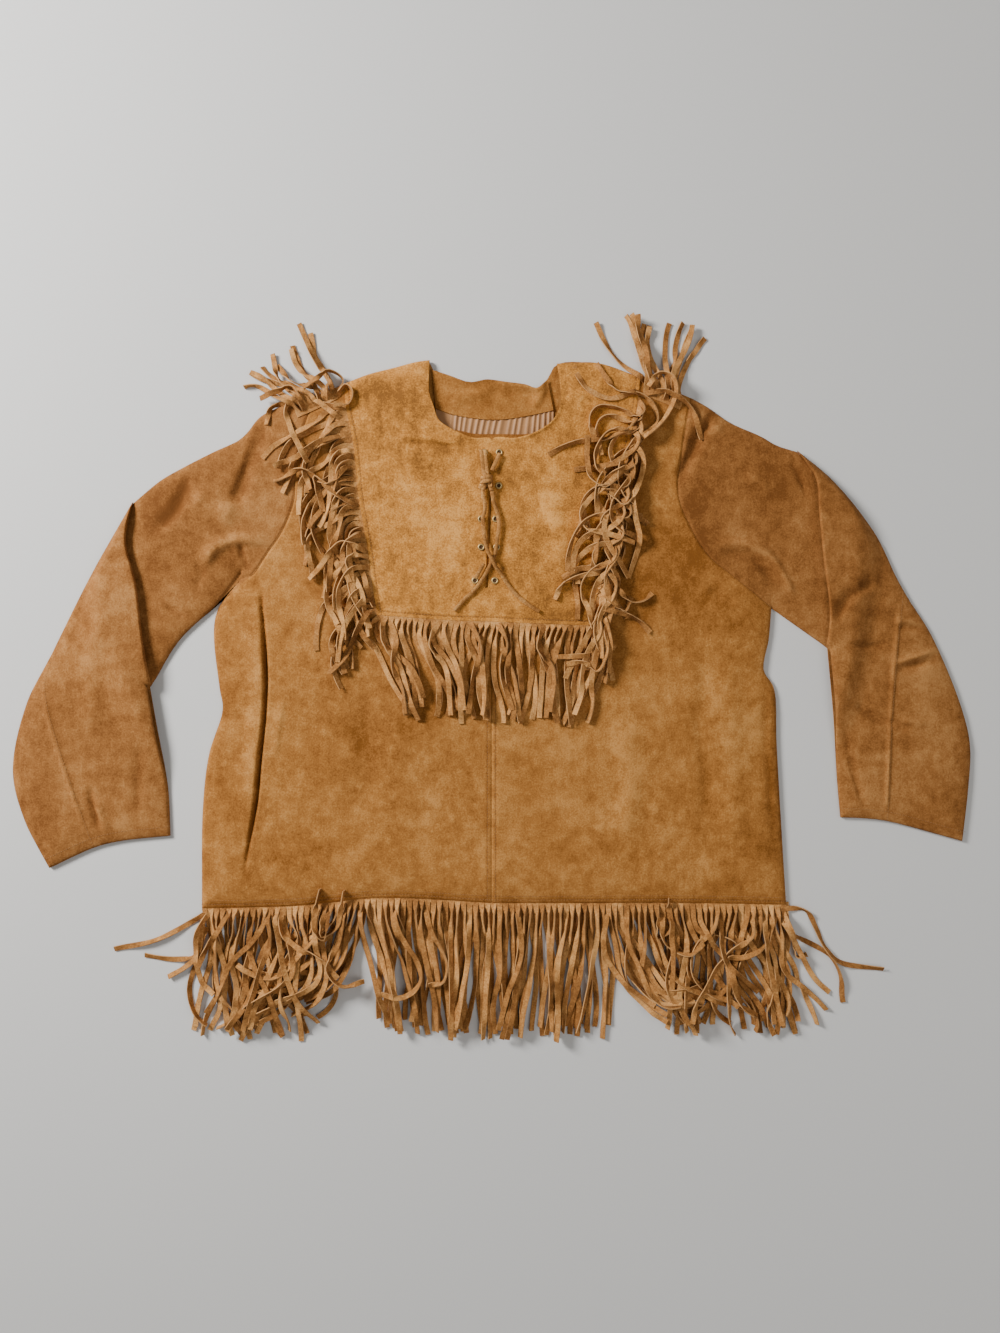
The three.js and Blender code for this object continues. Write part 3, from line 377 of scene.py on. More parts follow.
LACE_STRETCHES = {
    "lace_stub_left": [[-11.6, 255, 2.2], [-10.6, 245, 2.6], [-9.4, 234, 2.8], [-8.4, 226.8, 2.8]],
    "lace_stub_right": [[-7.8, 255, 2.2], [-6.8, 245, 2.6], [-5.6, 234, 2.8], [-4.6, 226.8, 2.8]],
    "lace_crossing_top": [[9.6, 251, 2.0], [5, 241.5, 2.4], [0.6, 231.5, 2.6]],
    "lace_crossing_low": [[-17.5, 109.5, 2.0], [-13, 118, 2.2], [-8.5, 126, 2.2]],
}


class Wire:
    """One output of a node. Sums, differences, products and quotients of wires and numbers add their Math nodes."""

    def __init__(self, tree, socket=None):
        self.tree = tree
        self.socket = socket

    def node(self, kind, settings=None, values=None, output=0):
        """Adds any node: its settings first, then the values or links of its sockets."""
        made = self.tree.nodes.new(kind)
        for name, value in (settings or {}).items():
            if name == "stops":
                ramp = made.color_ramp
                while len(ramp.elements) < len(value):
                    ramp.elements.new(1)
                for element, (position, colour) in zip(ramp.elements, value):
                    element.position = position
                    element.color = (*colour, 1)
            else:
                setattr(made, name, value)
        for name, value in (values or {}).items():
            if isinstance(value, Wire):
                self.tree.links.new(value.socket, made.inputs[name])
            else:
                made.inputs[name].default_value = value
        return Wire(self.tree, made.outputs[output])

    def math(self, operation, a, b=0.0, clamp=False):
        return self.node("ShaderNodeMath", {"operation": operation, "use_clamp": clamp}, {0: a, 1: b})

    def __add__(self, other):
        return self.math("ADD", self, other)

    def __sub__(self, other):
        return self.math("SUBTRACT", self, other)

    def __rsub__(self, other):
        return self.math("SUBTRACT", other, self)

    def __mul__(self, other):
        return self.math("MULTIPLY", self, other)

    def __truediv__(self, other):
        return self.math("DIVIDE", self, other)

    __radd__ = __add__
    __rmul__ = __mul__

    def blend(self, low, high):
        """A colour between two, with this wire as the share of the second."""
        return self.node("ShaderNodeMix", {"data_type": "RGBA"}, {0: self, 6: low, 7: high}, output=2)


def start_material(name):
    """A new material, and its wire to add nodes from."""
    material = bpy.data.materials.new(name)
    material.use_nodes = True
    return material, Wire(material.node_tree)


def feed(material, values):
    """Links what changes over a surface, or sets a plain number or colour on the shader's own socket."""
    principled = material.node_tree.nodes["Principled BSDF"]
    for name, value in values.items():
        if isinstance(value, Wire):
            value.tree.links.new(value.socket, principled.inputs[name])
        else:
            principled.inputs[name].default_value = value


def hide_material(name, dark, middle, light, cut_edge=None, sheen=0.12, marks=1.0):
    """Suede: cloudy patches where the nap lies another way, brush marks, a fine fleck, and a soft raised pile."""
    material, wire = start_material(name)
    where = wire.node("ShaderNodeTexCoord", output="Object")
    brushed = wire.node("ShaderNodeVectorMath", {"operation": "MULTIPLY"}, {0: where, 1: (1.0, 0.35, 1.0)})
    clouds = wire.node("ShaderNodeTexNoise", None, {
        "Vector": where, "Scale": 17.0, "Detail": 5.0, "Roughness": 0.62, "Distortion": 0.5})
    blotches = wire.node("ShaderNodeTexNoise", None, {
        "Vector": where, "Scale": 75.0, "Detail": 4.0, "Roughness": 0.62})
    strokes = wire.node("ShaderNodeTexNoise", None, {
        "Vector": brushed, "Scale": 120.0, "Detail": 3.0, "Roughness": 0.55, "Distortion": 0.4})
    grain = wire.node("ShaderNodeTexNoise", None, {
        "Vector": where, "Scale": 520.0, "Detail": 3.0, "Roughness": 0.75})
    # On panels the tone attribute holds the nap's listed places with painted light and shade; on strips it is random
    # tone
    tone_mark = wire.node("ShaderNodeAttribute", {"attribute_name": "tone"}, output="Fac")
    swing = (clouds - 0.5) * 1.0 + (blotches - 0.5) * 0.9 + (strokes - 0.5) * 0.35 + (grain - 0.5) * 1.2
    tone = wire.math("ADD", swing * marks + tone_mark, 0.5, True)
    colour = wire.node("ShaderNodeValToRGB", {"stops": [(0.1, dark), (0.5, middle), (0.9, light)]}, {0: tone})
    if cut_edge:
        edge = wire.node("ShaderNodeAttribute", {"attribute_name": "cut_edge"}, output="Fac")
        colour = (edge * 0.75).blend(colour, (*cut_edge, 1))
    roughness = 1.0 - 0.2 * clouds
    pile = wire.node("ShaderNodeTexNoise", None, {"Vector": where, "Scale": 1500.0, "Detail": 2.0, "Roughness": 0.8})
    relief = grain * 0.7 + pile * 0.4 + blotches * 1.2 + strokes * 0.4
    bumps = wire.node("ShaderNodeBump", None, {"Strength": 0.55, "Distance": 0.0011, "Height": relief})
    feed(material, {
        "Base Color": colour, "Roughness": roughness, "Normal": bumps, "Sheen Weight": sheen, "Sheen Roughness": 0.5,
        "Sheen Tint": (*[min(1, 1.3 * c) for c in light], 1), "Specular IOR Level": 0.12})
    return material


def start_tree(name, inputs):
    """A geometry node tree with named inputs: a wire to add nodes from, and the wires of its inputs by name."""
    tree = bpy.data.node_groups.new(name, "GeometryNodeTree")
    for label, (kind, value) in inputs.items():
        socket = tree.interface.new_socket(name=label, in_out="INPUT", socket_type="NodeSocket" + kind)
        if value is not None:
            socket.default_value = value
    tree.interface.new_socket(name="Mesh", in_out="OUTPUT", socket_type="NodeSocketGeometry")
    start = tree.nodes.new("NodeGroupInput")
    return Wire(tree), {socket.name: Wire(tree, socket) for socket in start.outputs if socket.name}


def end_tree(geometry, material):
    """Ends a tree with its copies made real and given their material."""
    joined = geometry.node("GeometryNodeRealizeInstances", None, {"Geometry": geometry})
    painted = geometry.node("GeometryNodeSetMaterial", None, {"Geometry": joined, "Material": material})
    end = geometry.tree.nodes.new("NodeGroupOutput")
    geometry.tree.links.new(painted.socket, end.inputs[0])
    return geometry.tree


# A strip is creased where its faces meet at more than this angle in radians, and its narrow sides are the faces that
# are smaller than this share of its width squared
CREASE_ANGLE = 1.0
CUT_FACE = 0.22


def strip_tree():
    """Geometry nodes that sweep a flat or rounded section along every curve and mark its narrow sides."""
    wire, given = start_tree("cut strip", {
        "Curves": ("Geometry", None), "Width": ("Float", 0.005), "Thickness": ("Float", 0.0012), "Sides": ("Int", 4),
        "Tone Spread": ("Float", 0.0), "Seed": ("Int", 3), "Material": ("Material", None)})
    corner = wire.math("DIVIDE", math.pi, given["Sides"])
    circle = wire.node("GeometryNodeCurvePrimitiveCircle", {"mode": "RADIUS"}, {"Resolution": given["Sides"], 4: 0.5})
    turned = wire.node("GeometryNodeTransform", None, {
        "Geometry": circle, "Rotation": wire.node("ShaderNodeCombineXYZ", None, {"Z": corner})})
    size = wire.node("ShaderNodeCombineXYZ", None, {
        "X": given["Width"] / wire.math("COSINE", corner), "Y": given["Thickness"] / wire.math("COSINE", corner),
        "Z": 1.0})
    section = wire.node("GeometryNodeTransform", None, {"Geometry": turned, "Scale": size})
    chance = wire.node("FunctionNodeRandomValue", {"data_type": "FLOAT"}, {2: -1.0, 3: 1.0, "Seed": given["Seed"]},
                       output=1)
    toned = wire.node("GeometryNodeStoreNamedAttribute", {"data_type": "FLOAT", "domain": "CURVE"}, {
        "Geometry": given["Curves"], "Name": "tone", "Value": chance * given["Tone Spread"]})
    swept = wire.node("GeometryNodeCurveToMesh", None, {
        "Curve": toned, "Profile Curve": section, "Fill Caps": True})
    facing = wire.node("GeometryNodeInputMeshFaceArea")
    marked = wire.node("GeometryNodeStoreNamedAttribute", {"data_type": "FLOAT", "domain": "FACE"}, {
        "Geometry": swept, "Name": "cut_edge",
        "Value": wire.math("LESS_THAN", facing, given["Width"] * given["Width"] * CUT_FACE)})
    bend = wire.node("GeometryNodeInputMeshEdgeAngle")
    creased = wire.node("GeometryNodeSetShadeSmooth", {"domain": "EDGE"}, {
        "Geometry": marked, "Selection": wire.math("GREATER_THAN", bend, CREASE_ANGLE), "Shade Smooth": False})
    return end_tree(creased, given["Material"])


STRIP_TREE = strip_tree()


def grown(name, source, tree, settings):
    """The mesh that a node tree makes from a source object, as an object of its own."""
    modifier = source.modifiers.new("nodes", "NODES")
    modifier.node_group = tree
    for item in tree.interface.items_tree:
        if item.in_out == "INPUT" and item.name in settings:
            modifier[item.identifier] = settings[item.name]
    evaluated = source.evaluated_get(bpy.context.evaluated_depsgraph_get())
    mesh = bpy.data.meshes.new_from_object(evaluated)
    source.modifiers.clear()
    bpy.data.objects.remove(source)
    mesh.name = name
    return in_scene(name, mesh)


def lines_object(name, runs):
    """Lines as one curve object. Each run is its points, and for each point a roll about its line and a scale."""
    curve = bpy.data.curves.new(name, "CURVE")
    curve.dimensions = "3D"
    curve.twist_mode = "Z_UP"
    for points, rolls, scales in runs:
        spline = curve.splines.new("POLY")
        spline.points.add(len(points) - 1)
        spline.points.foreach_set("co", np.column_stack([place(points), np.ones(len(points))]).ravel())
        spline.points.foreach_set("tilt", np.broadcast_to(rolls, len(points)).astype(float))
        spline.points.foreach_set("radius", np.broadcast_to(scales, len(points)).astype(float))
    return in_scene(name + " lines", curve)


def strips(name, runs, width, thickness, sides, material, tone_spread=0.0):
    """One mesh of leather strips along runs of points."""
    return grown(name, lines_object(name, runs), STRIP_TREE, {
        "Width": width * MM, "Thickness": thickness * MM, "Sides": sides, "Tone Spread": tone_spread,
        "Material": material})


def fitted(piece, slot, *nodes):
    """Fixes a piece to the one body of the part, in place of its plain nodes."""
    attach(piece, "root")
    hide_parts(*nodes)
    return piece


def lace_line(route, steps):
    """A stretch of lace as evenly spaced points on the bib, with its columns x, y, lift made x, y, z."""
    route = np.array(route)
    x, y, lift = route.T
    return along(np.column_stack([x, y, bib_z(x, y) + WALL / 2 + LACE / 2 + lift]), steps)


thong = hide_material("thong", (0.17, 0.064, 0.014), (0.36, 0.160, 0.044), (0.60, 0.33, 0.115), sheen=0.02,
                      marks=1.1)
for name, route in {"lace_end_left": LACE_END_LEFT, "lace_end_right": LACE_END_RIGHT}.items():
    line = lace_line(route, LACE_END_STEPS)
    rolls = LACE_END_ROLL["most"] * uneven(
        np.arange(len(line)) / LACE_END_ROLL["steps"], 0 * line[:, 0], 1, LACE_END_ROLL["seeds"][name])
    piece = fitted(strips(name + "_thong", [(line, rolls, 1)], *LACE_SECTION, thong), "lace", name)
for name, route in LACE_STRETCHES.items():
    line = lace_line(route, LACE_STRETCH_STEPS)
    fitted(strips(name + "_thong", [(line, LACE_STRETCH_ROLL, 1)], *LACE_SECTION, thong), "lace", name)

# Knot
# The overhand knot near the top of the laces: both thongs cross inside it, two wraps go round them, and a short
# tail pokes out at its lower left.
KNOT = {"x": -5, "y": 219, "breadth": 11, "thick": 8.6, "seat": 1.7, "scale": 0.9}
KNOT_WRAPS = {"turns": 2.1, "rise": 9.6, "sway": 0.8, "reach": 0.52, "height": 0.44, "points": 48}
KNOT_STEPS = 14
KNOT_ROLL = 0.1
# The two thongs and the tail inside the wraps. Columns: x, y, z from the middle of the knot
KNOT_THONGS = [
    [[-3, 9, 0], [1.5, 0, 0.6], [5, -10, -0.8]], [[1, 9, -1], [-1.5, 0, -1], [-4.6, -10, 0]],
    [[-2, -2.5, -0.5], [-5.5, -5, 0], [-8.5, -8, -0.8]]]

knot_level = float(bib_z(KNOT["x"], KNOT["y"])) + WALL / 2 + KNOT["seat"] + KNOT["thick"] / 2
turning = np.linspace(0, 2 * math.pi * KNOT_WRAPS["turns"], KNOT_WRAPS["points"])
wraps = np.column_stack([
    KNOT["x"] + KNOT_WRAPS["reach"] * KNOT["breadth"] * np.cos(turning),
    KNOT["y"] + KNOT_WRAPS["rise"] * (0.5 - turning / turning[-1]) + KNOT_WRAPS["sway"] * np.sin(turning),
    knot_level + KNOT_WRAPS["height"] * KNOT["thick"] * np.sin(turning)])
knot_middle = np.array([KNOT["x"], KNOT["y"], knot_level])
knot_runs = [(along((knot_middle + path).tolist(), KNOT_STEPS), KNOT_ROLL, KNOT["scale"]) for path in KNOT_THONGS]
fitted(strips("lace_knot_wraps", [(wraps, 0.0, KNOT["scale"]), *knot_runs], *LACE_SECTION, thong), "lace", "lace_knot")

# Panels
# Each panel is one thickness of suede with a raw cut edge. A panel is filled in between its four edges as a grid,
# closer near its seams, laid on the lie of the shirt and given its thickness.
GRID_STEP = 2.8
FLAT_STEP = 11
SEAM_ROWS = (1.3, 2.6, 3.8, 4.5, 5.2, 6.6)
SEAM_DIP = 0.9
SEAM_DIP_REACH = 2.6
STITCH_INSET = 4.5
STITCH_GROOVE = {"depth": 0.45, "breadth": 0.9, "shade": 0.22}
EDGE_SAMPLES = 20
SHARP_FROM = 50
# Painted light and shade of the folds: ridges painted lighter and troughs darker, by a share of their height up to a
# most
FOLD_PAINTED_SHADING = {"share": 0.06, "most": 3}
STRAIGHT_UP = (0.0, 0.0, 1.0)


def shares(length, near_start=True, near_end=True, step=GRID_STEP, close=(0, 0)):
    """Shares along an edge of a given length for a grid that is closer beside its seams and in a close stretch."""
    first = SEAM_ROWS if near_start else ()
    last = SEAM_ROWS if near_end else ()
    low, high = (first[-1] if first else 0), length - (last[-1] if last else 0)
    middle = np.linspace(low, high, max(2, round((high - low) / step)) + 1)
    between = np.concatenate([middle[:-1] + third * np.diff(middle) for third in (1 / 3, 2 / 3)])
    middle = np.sort(np.concatenate([middle, between[(between > close[0]) & (between < close[1])]]))
    places = [0, *first[:-1], *middle] if first else [*middle]
    places += [length - step for step in reversed(last[:-1])] + [length] if last else []
    return np.array(places) / length


def run_length(path):
    return float(np.linalg.norm(np.diff(smooth_line(path), axis=0), axis=1).sum())


def patch(bottom, top, inner, outer, across, up):
    """A grid of x, y filled in between four edges whose ends match."""
    u, v = across[None, :, None], up[:, None, None]
    low, high = along(bottom, across)[None], along(top, across)[None]
    near, far = along(inner, up)[:, None], along(outer, up)[:, None]
    corners = mix(mix(low[:, :1], low[:, -1:], u), mix(high[:, :1], high[:, -1:], u), v)
    return mix(low, high, v) + mix(near, far, u) - corners


def on_floor(grid):
    """The middle of a panel that lies flat on the floor, facing straight up."""
    return draped(grid, np.full(grid.shape[:2], WALL / 2))


def draped(grid, z):
    """A grid of x, y with the heights of its middle, facing straight up."""
    middle = np.dstack([grid, z])
    return middle, np.broadcast_to(STRAIGHT_UP, middle.shape)


def shell(name, middle, outward, material, thickness=WALL, open_cells=None, tone=None):
    """A closed wall round a grid of middle points. Open cells are left out, and every free edge gets a rim."""
    rows, columns = middle.shape[:2]
    count = rows * columns
    points = np.vstack([(middle + outward * thickness / 2).reshape(-1, 3),
                        (middle - outward * thickness / 2).reshape(-1, 3)])
    index = np.arange(count).reshape(rows, columns)
    filled = np.ones((rows - 1, columns - 1), bool) if open_cells is None else ~open_cells
    a, b, c, d = [part[filled] for part in (index[:-1, :-1], index[:-1, 1:], index[1:, 1:], index[1:, :-1])]
    faces = [np.column_stack([a, b, c, d]), np.column_stack([a, d, c, b]) + count]
    ringed = np.pad(filled, 1)
    for (di, dj), (p, q) in {(-1, 0): (0, 1), (0, 1): (1, 2), (1, 0): (2, 3), (0, -1): (3, 0)}.items():
        beside = ringed[1 + di:rows + di, 1 + dj:columns + dj]
        free = (filled & ~beside)[filled]
        p, q = [(a, b, c, d)[k][free] for k in (p, q)]
        faces.append(np.column_stack([q, p, p + count, q + count]))
    faces = np.vstack(faces)
    used, renumbered = np.unique(faces, return_inverse=True)
    points, faces = points[used], renumbered.reshape(faces.shape)
    first, second, third, fourth = [points[faces[:, k]] for k in range(4)]
    volume = np.einsum("ij,ij->i", first, np.cross(second, third) + np.cross(third, fourth)).sum()
    if volume < 0:
        faces = faces[:, ::-1]
    mesh = bpy.data.meshes.new(name)
    mesh.from_pydata(place(points).tolist(), [], faces.tolist())
    mesh.polygons.foreach_set("use_smooth", np.ones(len(faces), bool))
    mesh.set_sharp_from_angle(angle=math.radians(SHARP_FROM))
    if tone is not None:
        mark = mesh.attributes.new("tone", "FLOAT", "POINT")
        mark.data.foreach_set("value", tone(points[:, 0], points[:, 1]).astype(np.float32))
    mesh.materials.append(material)
    return in_scene(name, mesh)


def seam_dip(grid, *edges):
    """How far a panel is drawn down beside its sewn edges."""
    nearest = np.min([to_path(grid[..., 0], grid[..., 1], edge)[0] for edge in edges], axis=0)
    return -SEAM_DIP * (1 - ease(nearest / SEAM_DIP_REACH))


def groove(x, y, edges):
    """1 along the row of stitches inside any of the edges, falling to 0 beside it."""
    nearest = np.min([to_path(x, y, edge)[0] for edge in edges], axis=0)
    return np.exp(-((nearest - STITCH_INSET) / STITCH_GROOVE["breadth"]) ** 2)


def body_tone(x, y):
    """Light and dark places from a list, part nap and part painted shade; painted light on fold ridges, painted shade
    in troughs and along the deep tuck.
    """
    away, share, _ = to_path(x, y, TUCK)
    shade = TUCK_SHADE["strength"] * np.exp(-(away / TUCK_SHADE["breadth"]) ** 2) * np.sin(math.pi * share)
    placed = sum(strength * np.exp(-((x - px) / rx) ** 2 - ((y - py) / ry) ** 2) for px, py, rx, ry, strength in NAP_AND_PAINTED_SHADE)
    return placed + FOLD_PAINTED_SHADING["share"] * np.clip(creases(x, y), -FOLD_PAINTED_SHADING["most"], FOLD_PAINTED_SHADING["most"]) - shade


# Light and dark places of the suede, partly the nap's own tone and partly painted shade beside folds and painted light
# on ridges. Columns: x, y, half width, half height, strength
NAP_AND_PAINTED_SHADE = [
    (-60, -150, 90, 60, 0.10), (60, -60, 70, 90, 0.10), (160, -140, 60, 70, 0.06), (-150, -60, 60, 110, -0.12),
    (-215, 40, 40, 90, 0.05), (245, -10, 12, 40, 0.22), (296, -55, 24, 46, 0.22), (300, -180, 25, 60, -0.12),
    (-300, -60, 20, 120, -0.12), (204, 110, 60, 60, -0.24), (-250, 150, 26, 60, 0.08), (0, -230, 200, 22, 0.05),
    (328, -120, 12, 110, -0.25), (232, 190, 22, 70, -0.20), (-108, 318, 42, 26, -0.25), (-140, 268, 16, 16, -0.18),
    (-330, 200, 70, 60, -0.14), (-94, 246, 26, 20, -0.14), (-40, 160, 40, 60, 0.12), (70, 150, 40, 60, -0.06),
    (95, 90, 30, 30, -0.16), (60, 60, 40, 14, -0.10), (-128, 140, 12, 60, 0.10), (110, 240, 26, 40, -0.14),
    (20, 230, 30, 20, -0.06), (-380, 190, 26, 30, -0.28), (-310, 185, 34, 18, 0.16), (-390, 80, 14, 90, -0.12),
    (-440, 100, 26, 60, 0.08), (90, 205, 11, 44, -0.20), (66, 215, 13, 50, 0.10), (114, 316, 34, 16, -0.22),
    (-520, -100, 22, 90, -0.22), (-450, -60, 34, 60, -0.05), (-420, -170, 40, 22, 0.12), (-470, 10, 20, 30, 0.12),
    (300, 230, 60, 40, -0.18), (350, 150, 40, 50, -0.12), (420, 150, 30, 50, -0.10), (500, -20, 24, 60, 0.14),
    (430, -120, 26, 40, 0.18), (480, -110, 22, 60, 0.05), (412, 0, 30, 50, 0.08), (520, 10, 20, 40, 0.12),
]

suede = hide_material("suede", (0.175, 0.060, 0.010), (0.320, 0.128, 0.027), (0.49, 0.230, 0.062))
bib_suede = hide_material("bib suede", (0.20, 0.078, 0.015), (0.455, 0.182, 0.033), (0.68, 0.32, 0.078), marks=1.25)
sleeve_suede = hide_material("sleeve suede", (0.145, 0.050, 0.010), (0.262, 0.104, 0.026), (0.40, 0.185, 0.056))

# Back
# One panel of suede from hem to shoulders, lying flat on the floor under the fronts. Its neckline is the wavy edge
# behind the neck opening; the rest of it is hidden and finished plainly.
back_sides = [SIDE_LEFT[:-1] + [ARMHOLE_LEFT[0]], SIDE_RIGHT[:-1] + [ARMHOLE_RIGHT[0]]]
hem_path = HEM_LEFT[::-1][:-1] + [[0, HEM_LEFT[0][1]]] + HEM_RIGHT[1:]
low_up = shares(run_length(SIDE_LEFT), True, False, FLAT_STEP)
high_up = shares(run_length(ARMHOLE_LEFT), False, True, FLAT_STEP)
back_across = shares(run_length(hem_path), step=FLAT_STEP)
armhole_level = [ARMHOLE_LEFT[0], [0, 93], ARMHOLE_RIGHT[0]]
back_top = SHOULDER_LEFT[::-1][:-1] + BACK_NECKLINE[:-1] + SHOULDER_RIGHT
back_grid = np.vstack([
    patch(hem_path, armhole_level, back_sides[0], back_sides[1], back_across, low_up)[:-1],
    patch(armhole_level, back_top, ARMHOLE_LEFT, ARMHOLE_RIGHT, back_across, high_up)])
back = shell("back_panel", *on_floor(back_grid), suede)
fitted(back, "suede", "back")

# Fronts
# Two panels joined by a seam down the middle below the neck slit, sewn to the back at the sides and shoulders and
# to the sleeves at the armholes. Each is filled in as four patches round the corner of the bib that lies on it.
BIB_SIDE_LEFT = [[-130, 68], [-135, 100], [-141, 145], [-151, 202], [-157, 262], [-166, 307], [-168, 333]]
BIB_SIDE_RIGHT = [[115, 56], [122, 100], [134, 145], [145, 202], [157, 262], [167, 316], [170, 339]]
BIB_BOTTOM_LEFT = [[-1.5, 61], [-44, 62], [-130, 68]]
BIB_BOTTOM_RIGHT = [[1.5, 61], [17, 60], [115, 56]]
SLIT_TOP = (1.5, NECK_LOW_Y)
SLIT_END = (-5.5, 100)
SLIT_WIDTH = 3
FRONTS = {
    "front_left": (-GAP / 2, HEM_LEFT, SIDE_LEFT, ARMHOLE_LEFT, SHOULDER_LEFT, NECKLINE_LEFT, BIB_SIDE_LEFT,
                   BIB_BOTTOM_LEFT),
    "front_right": (GAP / 2, HEM_RIGHT, SIDE_RIGHT, ARMHOLE_RIGHT, SHOULDER_RIGHT, NECKLINE_RIGHT, BIB_SIDE_RIGHT,
                    BIB_BOTTOM_RIGHT),
}
# Where the grid beside the bib is closer, for the sharp tuck on the left and the crease on the right
TUCK_STRETCH = {"front_left": (118, 168), "front_right": (70, 120)}
HEM_CELLS = 40
HEM_SPLIT = 21
SIDE_SHARE = 0.7
CORNER_CLEARANCE = 5
# Height over which the cloth's own rise lets a seam's dip come in
SEAM_RISE = 2
yoke_across = shares(run_length(BIB_BOTTOM_LEFT))
yoke_up = shares(run_length(BIB_SIDE_LEFT))


def yoke_edges(centre_x, shoulder, neckline, bib_side, bib_bottom):
    """Bottom, top, inner and outer edge of what the bib covers on one front."""
    corner = bib_side[-1]
    bottom = [[centre_x, bib_bottom[0][1]], *bib_bottom[1:]]
    top = [point for point in shoulder if abs(point[0]) < abs(corner[0]) - CORNER_CLEARANCE] + [corner]
    slit_middle = (SLIT_END[1] + NECK_LOW_Y) / 2
    inner = [bottom[0], [centre_x, SLIT_END[1]], [centre_x, slit_middle], [centre_x, NECK_LOW_Y], *neckline]
    return bottom, top, inner, bib_side


def front_grid(close, centre_x, hem, side, armhole, shoulder, neckline, bib_side, bib_bottom):
    bottom, top, inner, outer = yoke_edges(centre_x, shoulder, neckline, bib_side, bib_bottom)
    side_across = shares(run_length([outer[0], side[0]]) * SIDE_SHARE, False, True, close=close)
    up = shares(run_length(side), True, False)
    yoke = patch(bottom, top, inner, outer, yoke_across, yoke_up)
    hem_line = along(hem, HEM_CELLS)
    inner_hem, outer_hem = hem_line[:HEM_SPLIT + 1].tolist(), hem_line[HEM_SPLIT:].tolist()
    split = [inner_hem[-1], outer[0]]
    level = [outer[0], armhole[0]]
    low_inner = patch(inner_hem, bottom, [hem_line[0], bottom[0]], split, yoke_across, up)
    low_outer = patch(outer_hem, level, split, side, side_across, up)
    shoulder_outer = [outer[-1], shoulder[-1]]
    upper = patch(level, shoulder_outer, outer, armhole, side_across, yoke_up)
    return np.vstack([np.hstack([low_inner[:-1], low_outer[:-1, 1:]]), np.hstack([yoke, upper[:, 1:]])])


for name, edges in FRONTS.items():
    grid = front_grid(TUCK_STRETCH[name], *edges)
    x, y = np.moveaxis(grid, 2, 0)
    centre_x, hem, side, armhole = edges[:4]
    centre = np.array([[centre_x, hem[0][1]], [centre_x, SLIT_END[1]]])
    sewn = [along(path, EDGE_SAMPLES) for path in (hem, side, armhole)] + [centre]
    furrow = STITCH_GROOVE["depth"] * groove(x, y, [sewn[0], centre])
    z = front_z(x, y)
    z += (seam_dip(grid, *sewn) - furrow) * ease((z - EDGE_Z) / SEAM_RISE)
    piece = shell(name + "_panel", *draped(grid, z), suede,
                  tone=lambda x, y: body_tone(x, y) - STITCH_GROOVE["shade"] * groove(x, y, [sewn[0], centre]))
    fitted(piece, "suede", name)

# Bib
# A lighter front yoke of the same suede laid over both fronts, from the shoulder seams to the middle of the chest,
# topstitched round its edge over the roots of its fringe, with the neck slit cut down its middle.
# How the slit opens: breadth of cloth drawn aside, where it starts and widens, and how that ends above the neckline
SLIT_OPENING = {"drawn": 60, "from_y": 61, "widens": 20, "above_neck": 4, "fade": 8}


def slit_x(y):
    return mix(SLIT_END[0], SLIT_TOP[0], np.clip((y - SLIT_END[1]) / (SLIT_TOP[1] - SLIT_END[1]), 0, 1))


def bib_grid():
    halves = []
    for name, (centre_x, hem, side, armhole, shoulder, neckline, bib_side, bib_bottom) in FRONTS.items():
        grid = patch(*yoke_edges(centre_x, shoulder, neckline, bib_side, bib_bottom), yoke_across, yoke_up)
        sign = math.copysign(1, centre_x)
        pull = 1 - ease(np.abs(grid[..., 0] - centre_x) / SLIT_OPENING["drawn"])
        widened = ease((grid[..., 1] - SLIT_OPENING["from_y"]) / SLIT_OPENING["widens"])
        target = slit_x(grid[..., 1]) + sign * SLIT_WIDTH / 2 * widened
        low = ease((NECK_LOW_Y + SLIT_OPENING["above_neck"] - grid[..., 1]) / SLIT_OPENING["fade"])
        grid[..., 0] += (target - centre_x) * pull * low
        halves.append(grid)
    return np.hstack([halves[0][:, ::-1], halves[1]])


grid = bib_grid()
middle_column = len(yoke_across) - 1
slit_rows = (grid[:-1, middle_column, 1] + grid[1:, middle_column, 1]) / 2 > SLIT_END[1]
slit_cells = np.zeros((grid.shape[0] - 1, grid.shape[1] - 1), bool)
slit_cells[:, middle_column] = slit_rows
bib_edges = [along(path, EDGE_SAMPLES) for path in (BIB_SIDE_LEFT, BIB_SIDE_RIGHT, BIB_BOTTOM_LEFT, BIB_BOTTOM_RIGHT)]
x, y = np.moveaxis(grid, 2, 0)
z = bib_z(x, y) - STITCH_GROOVE["depth"] * groove(x, y, bib_edges)
bib = shell("bib_panel", *draped(grid, z), bib_suede, open_cells=slit_cells,
            tone=lambda x, y: body_tone(x, y) - STITCH_GROOVE["shade"] * groove(x, y, bib_edges))
fitted(bib, "bib_suede", "bib")

# Sleeves
# Each sleeve lies flat in two layers. The upper one is doubled at the elbow, where the forearm is folded over the
# upper arm in a flat Z that closes up towards the inside of the elbow.
FOLD_RADIUS = 2.2
FOLD_END_RADIUS = 0.9
FOLD_TAPER = 7
FOLD_TURN_STEPS = 8
FOLD_FLAT_STEPS = 9
FOLD_SETTLE = (58, 130)
ARMHOLE_DIP_FROM = 3


def fold_radius(count):
    """Radius of the doubled elbow's turns across the sleeve, which is pressed thinner at its outer edge."""
    return mix(FOLD_END_RADIUS, FOLD_RADIUS, ease(np.linspace(0, FOLD_TAPER, count)))


